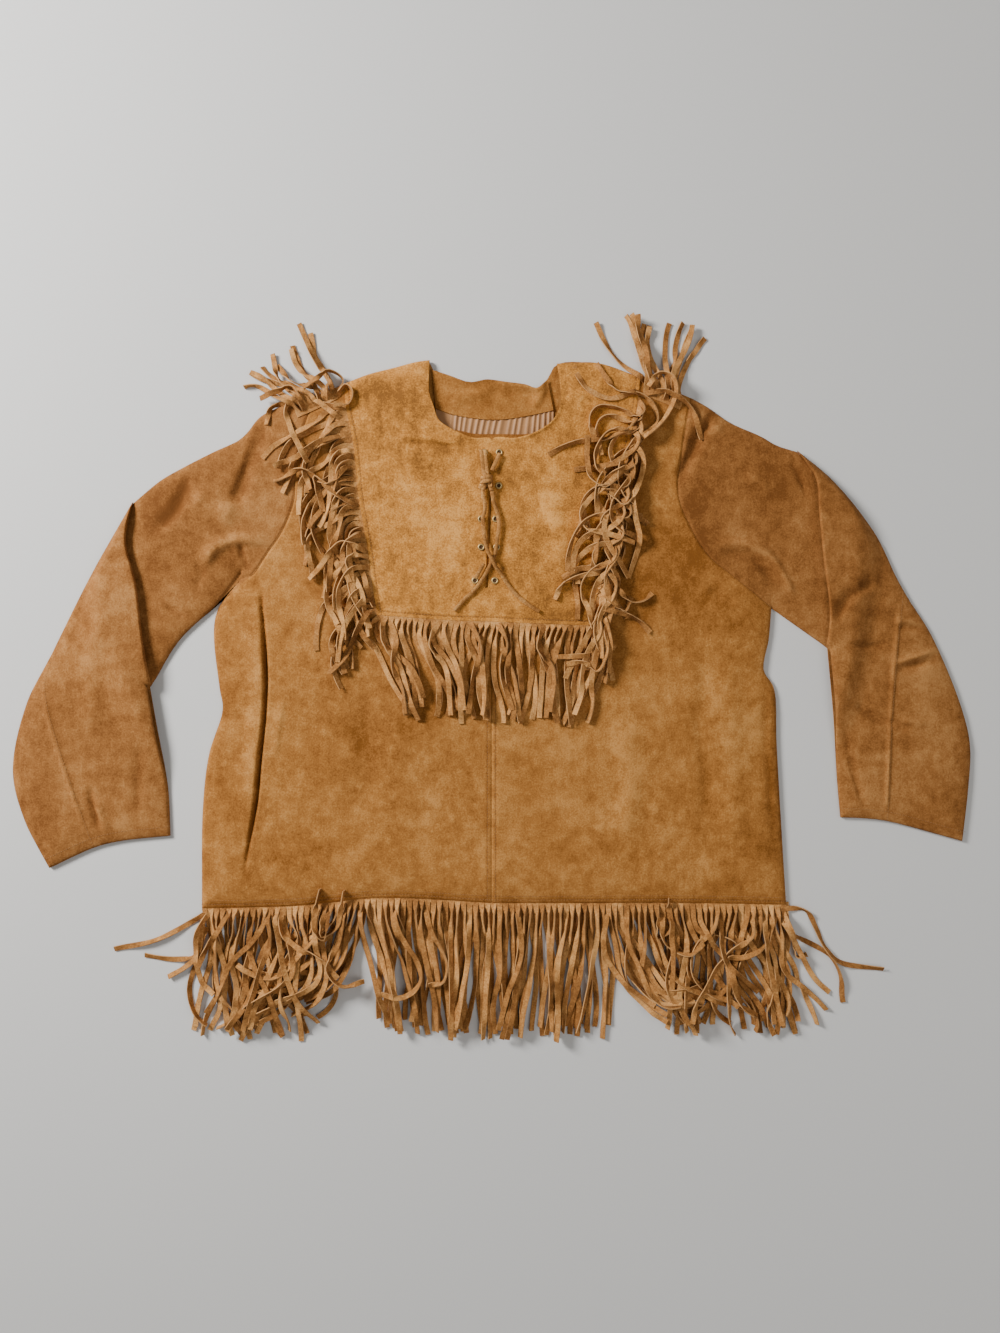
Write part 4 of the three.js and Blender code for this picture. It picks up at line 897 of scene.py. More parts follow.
def elbow_rows(edge, sleeve):
    """Rows of the doubled elbow: under, back to the visible edge, and over, as two half turns."""
    dx, dy = sleeve["tuck_under"]
    depth = mix(*sleeve["tuck_depth"], np.linspace(0, 1, len(edge)))
    radius = fold_radius(len(edge))
    rows, outs = [], []
    for reach_share, lift, sign in ((1, radius, 1), (0, 3 * radius, -1)):
        for step in range(FOLD_TURN_STEPS + 1):
            angle = math.pi * step / FOLD_TURN_STEPS
            reach = reach_share * depth + sign * radius * math.sin(angle)
            x, y = edge[:, 0] + dx * reach, edge[:, 1] + dy * reach
            rows.append(np.column_stack([x, y, front_z(x, y) + lift - radius * math.cos(angle)]))
            out = (-dx * math.sin(angle), -dy * math.sin(angle), sign * math.cos(angle))
            outs.append(np.broadcast_to(out, rows[-1].shape))
        if reach_share:
            for share in np.linspace(0, 1, FOLD_FLAT_STEPS)[1:-1]:
                reach = (1 - share) * depth
                x, y = edge[:, 0] + dx * reach, edge[:, 1] + dy * reach
                rows.append(np.column_stack([x, y, front_z(x, y) + 2 * radius]))
                outs.append(np.broadcast_to((0.0, 0.0, -1.0), rows[-1].shape))
    return np.array(rows), np.array(outs)


for name, sleeve in SLEEVES.items():
    across = shares(run_length(sleeve["armhole"]))
    armhole = (np.array(sleeve["armhole"]) + [sleeve["side"] * GAP, GAP]).tolist()[::-1]
    outer = [armhole[0], *sleeve["upper_outer"][1:]]
    inner = [armhole[-1], *sleeve["upper_inner"][1:]]
    fold = [outer[-1], *sleeve["fold"][1:-1], inner[-1]]
    upper_up = shares(run_length(outer), True, False)
    upper = patch(armhole, fold, outer, inner, across, upper_up)
    upper_z = front_z(upper[..., 0], upper[..., 1])
    sewn = along(armhole, EDGE_SAMPLES)
    upper_z += seam_dip(upper, sewn) * ease((upper_z - ARMHOLE_DIP_FROM) / SEAM_RISE)
    turn, turn_out = elbow_rows(along(fold, across), sleeve)
    visible = [sleeve["lower_outer"][0], *sleeve["fold"][1:-1], sleeve["lower_inner"][0]]
    lower_up = shares(run_length(sleeve["lower_outer"]), False, True)
    lower = patch(visible, sleeve["cuff"], sleeve["lower_outer"], sleeve["lower_inner"], across, lower_up)
    travelled = np.linalg.norm(lower - lower[:1], axis=2)
    settle = 1 - ease((travelled - FOLD_SETTLE[0]) / (FOLD_SETTLE[1] - FOLD_SETTLE[0]))
    lower_z = front_z(lower[..., 0], lower[..., 1]) + 4 * fold_radius(len(across)) * settle
    middle = np.vstack([np.dstack([upper, upper_z]), turn, np.dstack([lower, lower_z])[1:]])
    outward = np.vstack([np.broadcast_to(STRAIGHT_UP, (*upper_z.shape, 3)), turn_out,
                         np.broadcast_to(STRAIGHT_UP, (len(lower) - 1, len(across), 3))])
    piece = shell(f"sleeve_{name}_top_layer", middle, outward, sleeve_suede, tone=body_tone)
    fitted(piece, "suede", f"sleeve_{name}_top")

    flat_across = shares(run_length(sleeve["armhole"]), step=FLAT_STEP)
    flat_up = shares(run_length(outer), True, False, FLAT_STEP)
    flat_down = shares(run_length(sleeve["lower_outer"]), False, True, FLAT_STEP)
    under_grid = np.vstack([
        patch(armhole, fold, outer, inner, flat_across, flat_up)[:-1],
        patch(fold, sleeve["cuff"], sleeve["lower_outer"], sleeve["lower_inner"], flat_across, flat_down)])
    under = shell(f"sleeve_{name}_under_layer", *on_floor(under_grid), sleeve_suede)
    fitted(under, "suede", f"sleeve_{name}_under")

# Neck facings and lining
# Inside the neck the back is faced with suede, whose top edge rolls over the neckline. Below it shows a strip of
# taupe satin lining, gathered into small slanting pleats, and a narrow suede facing peeps out above the bib.
INSIDE_NECK_EDGE = [[-64, 305], [-44, 298], [1, 292], [39, 296], [71, 303]]
LINING = {"thick": 0.8, "bottom_y": 250, "slant": 9, "pleats": 20, "plain_until": 0.13, "pleats_begin_over": 0.05}
LINING_CELLS_PER_PLEAT = 12
LINING_ROWS = 14
# Pleats: their height and sharpness, how unevenly they are spaced and raised, and what is left of them at the bottom
PLEATS = {"depth": 1.0, "sharpness": 1.4, "low_share": 0.55, "high_share": 0.45, "fade": 2.2}
PLEAT_SPACING = {"share": 0.35, "pace": 11, "seed": 14}
PLEAT_RAISING = {"share": 0.3, "pace": 17, "seed": 15}
FRONT_FACING = {"breadth": 11, "peep": 7, "drop": 2.5, "shade": 0.32, "rows": 5, "blunt_ends": 0.04}
FRONT_FACING_EDGE = [[-40, 277.5], [-20, 269.5], [1, NECK_LOW_Y], [28, 269.5], [42, 273]]
FACING_ROWS = 22
FACING_EASE = 0.9
FACING_ROLL = {"from": 0.86, "over": 0.14}
FACING_SLACK = {"height": 0.3, "size": 14, "seed": 3}
# Folds of the facing. Columns: height, widths left and right of its path, path of x, y
FACING_FOLDS = [
    (1.7, 7, 6, [[-50, 312], [-15, 322], [8, 332]]), (-1.2, 6, 5, [[-40, 330], [-10, 326], [14, 318]]),
    (2.6, 3.5, 3, [[-2, 334], [20, 332], [42, 328], [54, 326], [64, 337]]),
    (-1.6, 3, 6, [[12, 325], [34, 321], [52, 316]]), (2.2, 6, 4, [[46, 302], [56, 318], [64, 334]]),
]

facing_across, facing_up = shares(run_length(INSIDE_NECK_EDGE)), np.linspace(0, 1, FACING_ROWS)
facing_top = along((np.array(BACK_NECKLINE[1:-1]) + [0, -1]).tolist(), facing_across)
facing_low = along(INSIDE_NECK_EDGE, facing_across)
facing_grid = mix(facing_low[None], facing_top[None], facing_up[:, None, None])
x, y = facing_grid[..., 0], facing_grid[..., 1]
facing_z = (EDGE_Z + FACING_EASE + sum(fold_lift(x, y, *fold) for fold in FACING_FOLDS)
            + ease((facing_up[:, None] - FACING_ROLL["from"]) / FACING_ROLL["over"])
            + FACING_SLACK["height"] * uneven(x, y, FACING_SLACK["size"], FACING_SLACK["seed"]))
facing_z = np.maximum(facing_z, EDGE_Z)
facing = shell("back_neck_facing_piece", *draped(facing_grid, facing_z), suede, tone=body_tone)
fitted(facing, "suede", "back_neck_facing")

pleat_across = np.linspace(0, 1, LINING_CELLS_PER_PLEAT * LINING["pleats"] + 1)
pleat_up = np.linspace(0, 1, LINING_ROWS)
pleat_top = along(INSIDE_NECK_EDGE, pleat_across) - [0, WALL / 4]
turn = pleat_across * LINING["pleats"] + PLEAT_SPACING["share"] * uneven(
    pleat_across * PLEAT_SPACING["pace"], 0 * pleat_across, 1, PLEAT_SPACING["seed"])
rise = (0.5 - 0.5 * np.cos(2 * math.pi * turn)) ** PLEATS["sharpness"] * (1 + PLEAT_RAISING["share"] * uneven(
    pleat_across * PLEAT_RAISING["pace"], 0 * pleat_across, 1, PLEAT_RAISING["seed"]))
rise *= ease((pleat_across - LINING["plain_until"]) / LINING["pleats_begin_over"])
kept = (PLEATS["low_share"] + PLEATS["high_share"] * np.cos(PLEATS["fade"] * pleat_up))[:, None]
slant = LINING["slant"] * np.sin(math.pi * pleat_across)
lining_grid = np.dstack([
    pleat_top[None, :, 0] - pleat_up[:, None] * slant[None],
    mix(pleat_top[None, :, 1], LINING["bottom_y"], pleat_up[:, None])])
lining_z = WALL + GAP + LINING["thick"] / 2 + PLEATS["depth"] * rise[None] * kept

satin, wire = start_material("satin")
where = wire.node("ShaderNodeTexCoord", output="Object")
soil = wire.node("ShaderNodeTexNoise", None, {"Vector": where, "Scale": 90.0, "Detail": 3.0})
weave = wire.node("ShaderNodeTexWave", {"wave_type": "BANDS", "bands_direction": "DIAGONAL"}, {
    "Vector": where, "Scale": 900.0, "Distortion": 1.5, "Detail": 1.0})
bumps = wire.node("ShaderNodeBump", None, {"Strength": 0.25, "Distance": 0.0002, "Height": weave})
feed(satin, {
    "Base Color": soil.blend((0.27, 0.120, 0.042, 1), (0.46, 0.225, 0.085, 1)), "Roughness": 0.45 + 0.2 * soil,
    "Normal": bumps, "Sheen Weight": 0.1, "Specular IOR Level": 0.35})
lining = shell("lining_pleats", *draped(lining_grid, lining_z), satin, thickness=LINING["thick"])
fitted(lining, "lining", "lining")

peep_across, peep_up = shares(run_length(FRONT_FACING_EDGE)), np.linspace(0, 1, FRONT_FACING["rows"])
peep_edge = along(FRONT_FACING_EDGE, peep_across)
peep_low = FRONT_FACING["peep"] - FRONT_FACING["breadth"]
peep_shares = np.clip(peep_across, FRONT_FACING["blunt_ends"], 1 - FRONT_FACING["blunt_ends"])
peep_high = FRONT_FACING["peep"] * np.sin(math.pi * peep_shares) ** 0.5
peep_grid = np.dstack([np.repeat(peep_edge[None, :, 0], len(peep_up), axis=0),
                       peep_edge[None, :, 1] + mix(peep_low, peep_high[None], peep_up[:, None])])
peep_z = front_z(peep_grid[..., 0], peep_grid[..., 1]) - FRONT_FACING["drop"]
peep = shell("front_neck_facing_piece", *draped(peep_grid, peep_z), suede,
             tone=lambda x, y: body_tone(x, y) - FRONT_FACING["shade"])
fitted(peep, "bib_suede", "front_neck_facing")

# Eyelets
# Five pairs of small brass rings pressed through the bib beside its slit, dulled by handling.
# Columns: y, left x, right x
EYELET_ROWS = [(253, -8, 9), (215, -9.5, 8.5), (177, -11.5, 5), (145, -11.5, 6), (107, -18.5, 4)]
EYELET = {"bore": 2.1, "flange": 3.9, "thick": 1.1, "hole_shade_thick": 0.3}


def ring_tree():
    """Geometry nodes that set a rolled ring on every point."""
    wire, given = start_tree("rolled ring", {
        "Points": ("Geometry", None), "Radius": ("Float", 0.003), "Breadth": ("Float", 0.002),
        "Height": ("Float", 0.001), "Material": ("Material", None)})
    path = wire.node("GeometryNodeCurvePrimitiveCircle", {"mode": "RADIUS"}, {"Resolution": 32, 4: given["Radius"]})
    round_section = wire.node("GeometryNodeCurvePrimitiveCircle", {"mode": "RADIUS"}, {"Resolution": 10, 4: 0.5})
    size = wire.node("ShaderNodeCombineXYZ", None, {"X": given["Breadth"], "Y": given["Height"], "Z": 1.0})
    section = wire.node("GeometryNodeTransform", None, {"Geometry": round_section, "Scale": size})
    ring = wire.node("GeometryNodeCurveToMesh", None, {"Curve": path, "Profile Curve": section})
    smooth = wire.node("GeometryNodeSetShadeSmooth", None, {"Geometry": ring})
    cloned = wire.node("GeometryNodeInstanceOnPoints", None, {"Points": given["Points"], "Instance": smooth})
    return end_tree(cloned, given["Material"])


brass, wire = start_material("brass")
where = wire.node("ShaderNodeTexCoord", output="Object")
tarnish = wire.node("ShaderNodeTexNoise", None, {"Vector": where, "Scale": 700.0, "Detail": 3.0})
feed(brass, {"Base Color": tarnish.blend((0.38, 0.25, 0.09, 1), (0.62, 0.45, 0.20, 1)), "Metallic": 0.92,
             "Roughness": 0.4 + 0.25 * tarnish})

# Each eyelet's bore holds a thin dark disc as painted shade, where the hole would be dark
hole_shade, wire = start_material("painted shade of a hole")
feed(hole_shade, {"Base Color": (0.070, 0.030, 0.010, 1), "Roughness": 1.0})

ring_places = np.array([[x, y, 0] for y, *sides in EYELET_ROWS for x in sides], float)
ring_places[:, 2] = bib_z(ring_places[:, 0], ring_places[:, 1]) + WALL / 2 + GAP + EYELET["thick"] / 2
RING_TREE = ring_tree()


def rings(name, radius, breadth, height, lift, material):
    """One mesh of rings on all eyelet places."""
    points = bpy.data.meshes.new(name + " places")
    points.from_pydata(place(ring_places + [0, 0, lift]).tolist(), [], [])
    return grown(name, in_scene(name + " places", points), RING_TREE, {
        "Radius": radius * MM, "Breadth": breadth * MM, "Height": height * MM, "Material": material})


eyelets = rings("eyelet_rings", (EYELET["bore"] + EYELET["flange"]) / 2, EYELET["flange"] - EYELET["bore"],
                EYELET["thick"], 0, brass)
fitted(eyelets, "eyelet", *[f"eyelet_{side}_{row}" for side in ("left", "right") for row in range(1, 6)])
hole_shades = rings("eyelet_holes", EYELET["bore"] / 2, EYELET["bore"], EYELET["hole_shade_thick"], -EYELET["thick"] / 2, hole_shade)
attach(hole_shades, "root")

# Sewing
# Tan thread, about three stitches to the centimetre. The bib is topstitched just inside its edge, the hem and the
# centre seam on both sides, and the cuffs and the forearm seams once.
STITCH = {"pitch": 3.3, "length": 2.5, "thread": 0.55, "proud": 0.2}
# Steps in which a seam follows the cloth, and in which an edge is moved in for its row of stitches
SEAM_SAMPLE, INSET_SAMPLE = 4, 8
HEM_STITCHES = (STITCH_INSET, STITCH_INSET + 4.5)
CUFF_STITCH = 11
FOREARM_STITCH = 2.0
CENTRE_SEAM = (-258, -100, 58)
FOREARM_SEAMS = {"left": [[-506, 14], [-512, -8], [-509, -34], [-492, -93], [-477, -137], [-469, -160], [-458, -196]],
                 "right": [[469, 93], [462, 40], [456, -29], [451, -143], [451, -166]]}


def stitch_tree():
    """Geometry nodes that set a rounded stitch at every step along a seam."""
    wire, given = start_tree("stitches", {
        "Seams": ("Geometry", None), "Pitch": ("Float", 0.0033), "Stitch Length": ("Float", 0.0025),
        "Thread": ("Float", 0.0005), "Seed": ("Int", 7), "Material": ("Material", None)})
    steps = wire.node("GeometryNodeResampleCurve", {"mode": "LENGTH"}, {
        "Curve": given["Seams"], "Length": given["Pitch"]})
    pill = wire.node("GeometryNodeMeshUVSphere", None, {"Segments": 6, "Rings": 4, "Radius": 0.5})
    size = wire.node("ShaderNodeCombineXYZ", None, {
        "X": given["Stitch Length"], "Y": given["Thread"], "Z": given["Thread"]})
    stitch = wire.node("GeometryNodeTransform", None, {"Geometry": pill, "Scale": size})
    smooth = wire.node("GeometryNodeSetShadeSmooth", None, {"Geometry": stitch})
    heading = wire.node("GeometryNodeInputTangent")
    turned = wire.node("FunctionNodeAlignRotationToVector", {"axis": "X"}, {"Vector": heading})
    uneven_length = wire.node("FunctionNodeRandomValue", {"data_type": "FLOAT"}, {
        2: 0.85, 3: 1.05, "Seed": given["Seed"]}, output=1)
    cloned = wire.node("GeometryNodeInstanceOnPoints", None, {
        "Points": steps, "Instance": smooth, "Rotation": turned, "Scale": uneven_length})
    return end_tree(cloned, given["Material"])


STITCH_TREE = stitch_tree()


def sewn_lines(name, lines, material):
    """One mesh of stitches along lines of x, y, z points."""
    piece = grown(name, lines_object(name, [(points, 0, 1) for points in lines]), STITCH_TREE, {
        "Pitch": STITCH["pitch"] * MM, "Stitch Length": STITCH["length"] * MM, "Thread": STITCH["thread"] * MM,
        "Material": material})
    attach(piece, "root")


def seam_on(path, surface):
    """A stitched line along a path, just proud of a surface."""
    points = along(path, max(2, round(run_length(path) / SEAM_SAMPLE)))
    return np.column_stack([points, surface(*points.T) + WALL / 2 + STITCH["thread"] * STITCH["proud"]])


def to_left(points):
    """Directions square to a line of x, y points, towards its left."""
    heading = np.gradient(points, axis=0)
    heading /= np.linalg.norm(heading, axis=1)[:, None]
    return np.column_stack([-heading[:, 1], heading[:, 0]])


def beside(path, distance):
    """A path's points moved to its left by a distance."""
    points = along(path, max(2, round(run_length(path) / INSET_SAMPLE)))
    return (points + distance * to_left(points)).tolist()


thread, wire = start_material("thread")
where = wire.node("ShaderNodeTexCoord", output="Object")
twist = wire.node("ShaderNodeTexWave", {"wave_type": "BANDS"}, {"Vector": where, "Scale": 1400.0, "Distortion": 2.0})
feed(thread, {"Base Color": twist.blend((0.20, 0.085, 0.022, 1), (0.40, 0.20, 0.07, 1)), "Roughness": 0.8})

bib_seams = [beside(BIB_SIDE_LEFT, -STITCH_INSET), beside(BIB_SIDE_RIGHT, STITCH_INSET),
             beside(BIB_BOTTOM_LEFT, -STITCH_INSET), beside(BIB_BOTTOM_RIGHT, STITCH_INSET)]
sewn_lines("bib_stitches", [seam_on(path, bib_z) for path in bib_seams], thread)
front_seams = [beside(hem_path, inset) for inset in HEM_STITCHES]
front_seams += [[[side * STITCH_INSET, y] for y in CENTRE_SEAM] for side in (-1, 1)]
sewn_lines("front_stitches", [seam_on(path, front_z) for path in front_seams], thread)
sleeve_seams = [beside(SLEEVES["left"]["cuff"], CUFF_STITCH), beside(SLEEVES["right"]["cuff"], -CUFF_STITCH),
                *[beside(path, FOREARM_STITCH) for path in FOREARM_SEAMS.values()]]
sewn_lines("sleeve_stitches", [seam_on(path, front_z) for path in sleeve_seams], thread)

# Fringe
# Straight cuts into strips of the same hide, about 6.9 mm apart and 80 to 150 mm long, whose uncut edge is sewn under
# the hems, under the bib's edge and over the shoulders. They lie over each other as they fell, some on edge.
STRAND_WIDTH = 5.9
STRAND_THICK = 1.2
STRAND_SIDES = 4
HALF_PITCH = 3.45
STRAND_POINTS = 36
TONE_SPREAD = 0.17
# The uncut strip's breadth as a share of a strand's
STRIP_SCALE = 0.66
# How far a strand stays off what it lies on, how steeply it may fall, and over what length it rises from its root
CLEARANCE = 0.2
STEEPEST = 0.5
ROOT_RISE = 9
STRAND_SAMPLES = 7
STRAND_SMOOTHING = {"weights": [0.25, 0.5, 0.25], "times": 3}
CLOSER_THAN_PILE = 1.6
# How a strand stands on edge: in turns, of which some points are averaged, near its root, and at the very most
EDGE_TURN = 30
TURN_AVERAGED = 5
ROOT_STANDING = {"share": 0.13, "reach": 0.11, "rolls_in": 11}
MOST_ROLL = 1.35
# The strands given one by one: length of their steps, their twist, and how their tips come to stand over the hem
LOOSE = {"step": 3.6, "fewest": 8, "twist": 0.6, "twist_turns": 5, "tip_stands_over": 8}
# The pile is the height of all that lies there so far, in square cells. Above its firm part it gives under a strip
PILE_CELL = 1.5
PILE_FIRM = 13
PILE_GIVE = 13
PILE_LOW = (-570, -440)
PILE_CELLS = (760, 586)
BOTTOM_SAMPLES = 12

pile_x, pile_y = np.meshgrid(*[low + 2 * PILE_CELL * (np.arange(cells // 2) + 0.5)
                               for low, cells in zip(PILE_LOW, PILE_CELLS)], indexing="ij")
bib_outline = np.vstack([along(BIB_BOTTOM_LEFT, BOTTOM_SAMPLES), along(BIB_SIDE_LEFT, EDGE_SAMPLES),
                         along(BIB_SIDE_RIGHT, EDGE_SAMPLES)[::-1], along(BIB_BOTTOM_RIGHT, BOTTOM_SAMPLES)[::-1]])
cloth_top = np.where(within(pile_x, pile_y, np.vstack(SILHOUETTE)), front_z(pile_x, pile_y) + WALL / 2, 0)
cloth_top = np.where(within(pile_x, pile_y, bib_outline) & (cloth_top > 0), cloth_top + BIB_STEP, cloth_top)
pile = cloth_top.repeat(2, axis=0).repeat(2, axis=1)


def pile_cell(x, y):
    cells = [np.clip(((value - low) / PILE_CELL).astype(int), 0, count - 1)
             for value, low, count in zip((x, y), PILE_LOW, PILE_CELLS)]
    return tuple(cells)


def lay_down(line, rolls, root_z):
    """Heights of a strip's middle so that it rests on the pile as it lies so far, which it is then added to."""
    step = np.linalg.norm(np.diff(line, axis=0), axis=1).mean()
    sideways = to_left(line)
    offsets = np.linspace(-0.5, 0.5, STRAND_SAMPLES)[None] * STRAND_WIDTH
    reach = offsets * np.cos(rolls)[:, None]
    x, y = line[:, :1] + sideways[:, :1] * reach, line[:, 1:] + sideways[:, 1:] * reach
    lift = offsets * np.sin(rolls)[:, None]
    half = STRAND_THICK / 2 * np.cos(rolls)
    need = (pile[pile_cell(x, y)] - lift).max(axis=1) + half + CLEARANCE
    apart = np.abs(np.subtract.outer(np.arange(len(line)), np.arange(len(line)))) * step
    z = (need[None] - STEEPEST * apart).max(axis=1)
    for _ in range(STRAND_SMOOTHING["times"]):
        z = np.maximum(need, np.convolve(np.pad(z, 1, mode="edge"), STRAND_SMOOTHING["weights"], mode="valid"))
    z = np.where(z > PILE_FIRM, PILE_FIRM + PILE_GIVE * np.tanh((z - PILE_FIRM) / PILE_GIVE), z)
    travelled = np.arange(len(line)) * step
    z = mix(root_z, z, ease(travelled / ROOT_RISE))
    fine = np.linspace(0, len(line) - 1, int(travelled[-1] / PILE_CELL * CLOSER_THAN_PILE))
    x, y, top = [np.column_stack([np.interp(fine, np.arange(len(line)), column) for column in table.T])
                 for table in (x, y, z[:, None] + lift + half[:, None])]
    np.maximum.at(pile, pile_cell(x, y), top)
    return z


def rolled(line, twist, edge_on=0):
    """Roll of a strip about its line: it stands on its edge at its root and where it turns sharply, and twists."""
    heading = np.unwrap(np.arctan2(*np.gradient(line, axis=0).T[::-1]))
    turning = np.gradient(heading) / np.maximum(np.linalg.norm(np.gradient(line, axis=0), axis=1), 1e-6)
    averaged = np.ones(TURN_AVERAGED) / TURN_AVERAGED
    turning = np.convolve(np.pad(turning, TURN_AVERAGED // 2, mode="edge"), averaged, mode="valid")
    past_root = (np.linspace(0, 1, len(line)) - ROOT_STANDING["share"]) / ROOT_STANDING["reach"]
    standing = edge_on * np.exp(-past_root ** 2)
    roll = np.clip(-turning * EDGE_TURN + twist + standing, -MOST_ROLL, MOST_ROLL)
    return roll * ease(np.linspace(0, ROOT_STANDING["rolls_in"], len(line)))


# How far strands stray with their lock, by how many strands it has and by its bends; then, one by one, how far each
# strays by itself, how unlike its neighbours, by its bends and from where along them
LOCK = {"strays": 0.75, "strands": 3.1, "bends": 2.2}
ALONE = [(0.75, 5.37, 2.9, 7), (0.3, 2.71, 7, 3)]


def wander(k, share, seed):
    """How a strand strays from its neighbours' way: partly with its own lock and partly by itself."""
    strayed = LOCK["strays"] * uneven(k / LOCK["strands"], share * LOCK["bends"], 1, seed)
    for nth, (strays, unlike, bends, start) in enumerate(ALONE, 1):
        strayed = strayed + strays * uneven(k * unlike, share * bends + start, 1, seed + nth)
    return strayed


# Each comb: its sewn edge and how far that is moved, its strands, their length, the way they leave the edge, how far
# they stand on edge at their roots, and how they then fall
# Columns of the fall: share along the edge, way of the strand after leaving, way of its tip, disorder, all in degrees
COMBS = {
    "hem_fringe_back": {
        "edge": hem_path, "shift": (HALF_PITCH, -GAP), "count": 97, "length": 146, "leave": -90,
        "edge_on": 0.4, "twist": 0.5, "root_z": WALL / 2, "seed": 31,
        "fall": [(0, -96, -100, 26), (0.12, -96, -92, 34), (0.19, -112, -164, 30), (0.27, -116, -180, 24),
                 (0.285, -80, -84, 9), (0.35, -88, -90, 12), (0.66, -90, -92, 12), (0.685, -92, -96, 12),
                 (0.70, -78, -14, 24), (0.765, -80, -8, 26), (0.78, -86, -80, 34), (1, -84, -74, 34)],
    },
    "hem_fringe_front": {
        "edge": hem_path, "shift": (0, -GAP), "count": 97, "length": 150, "leave": -90,
        "edge_on": 1.0, "twist": 1.2, "root_z": EDGE_Z, "seed": 42, "tips_stand_above": -268,
        "fall": [(0, -100, -92, 40), (0.05, -98, -84, 48), (0.15, -96, -94, 58), (0.185, -110, -156, 48),
                 (0.25, -118, -184, 36), (0.275, -100, -170, 32), (0.285, -76, -80, 12), (0.36, -88, -90, 17),
                 (0.5, -90, -90, 15), (0.6, -92, -94, 17), (0.68, -94, -100, 17), (0.70, -80, -20, 34),
                 (0.76, -84, -10, 38), (0.78, -84, -74, 56), (0.88, -90, -96, 62), (0.96, -84, -70, 54),
                 (1, -72, -62, 40)],
    },
    "bib_fringe_bottom": {
        "edge": BIB_BOTTOM_LEFT[::-1][:-1] + BIB_BOTTOM_RIGHT[1:], "shift": (0, -GAP), "count": 36, "length": 112,
        "leave": -106, "edge_on": 1.2, "twist": 0.8, "root_z": None, "seed": 53,
        "fall": [(0, -56, -72, 18), (0.2, -70, -84, 26), (0.45, -84, -92, 28), (0.6, -90, -90, 28),
                 (0.85, -98, -92, 26), (1, -104, -94, 22)],
    },
    "bib_fringe_left": {
        "edge": BIB_SIDE_LEFT[:-1][::-1], "shift": (-GAP, 0), "count": 38, "length": 110, "leave": 176,
        "edge_on": 1.25, "twist": 0.8, "root_z": None, "seed": 64,
        "fall": [(0, 236, 268, 46), (0.2, 246, 270, 42), (0.5, 250, 276, 46), (0.75, 248, 270, 46),
                 (0.88, 246, 284, 40), (1, 236, 304, 34)],
    },
    "bib_fringe_right": {
        "edge": BIB_SIDE_RIGHT[:-1][::-1], "shift": (GAP, 0), "count": 38, "length": 114, "leave": -52,
        "edge_on": -0.9, "twist": 0.8, "root_z": None, "seed": 75,
        "fall": [(0, -158, -70, 60), (0.25, -148, -58, 62), (0.5, -142, -62, 60), (0.8, -128, -84, 52),
                 (1, -104, -92, 34)],
    },
    "shoulder_fringe_left": {
        "edge": [[-222, 296], [-200, 306], [-176, 318]], "shift": (0, 0), "count": 9, "length": 80, "leave": 115,
        "edge_on": 0.6, "twist": 0.6, "root_z": None, "seed": 86,
        "fall": [(0, 165, 188, 36), (0.4, 140, 128, 42), (1, 112, 98, 34)],
    },
    "shoulder_fringe_right": {
        "edge": [[174, 322], [194, 314], [216, 305]], "shift": (0, 0), "count": 11, "length": 92, "leave": 84,
        "edge_on": 0.7, "twist": 0.6, "root_z": None, "seed": 97,
        "fall": [(0, 104, 128, 24), (0.3, 98, 86, 34), (0.6, 96, 74, 34), (1, 88, 58, 30)],
    },
}
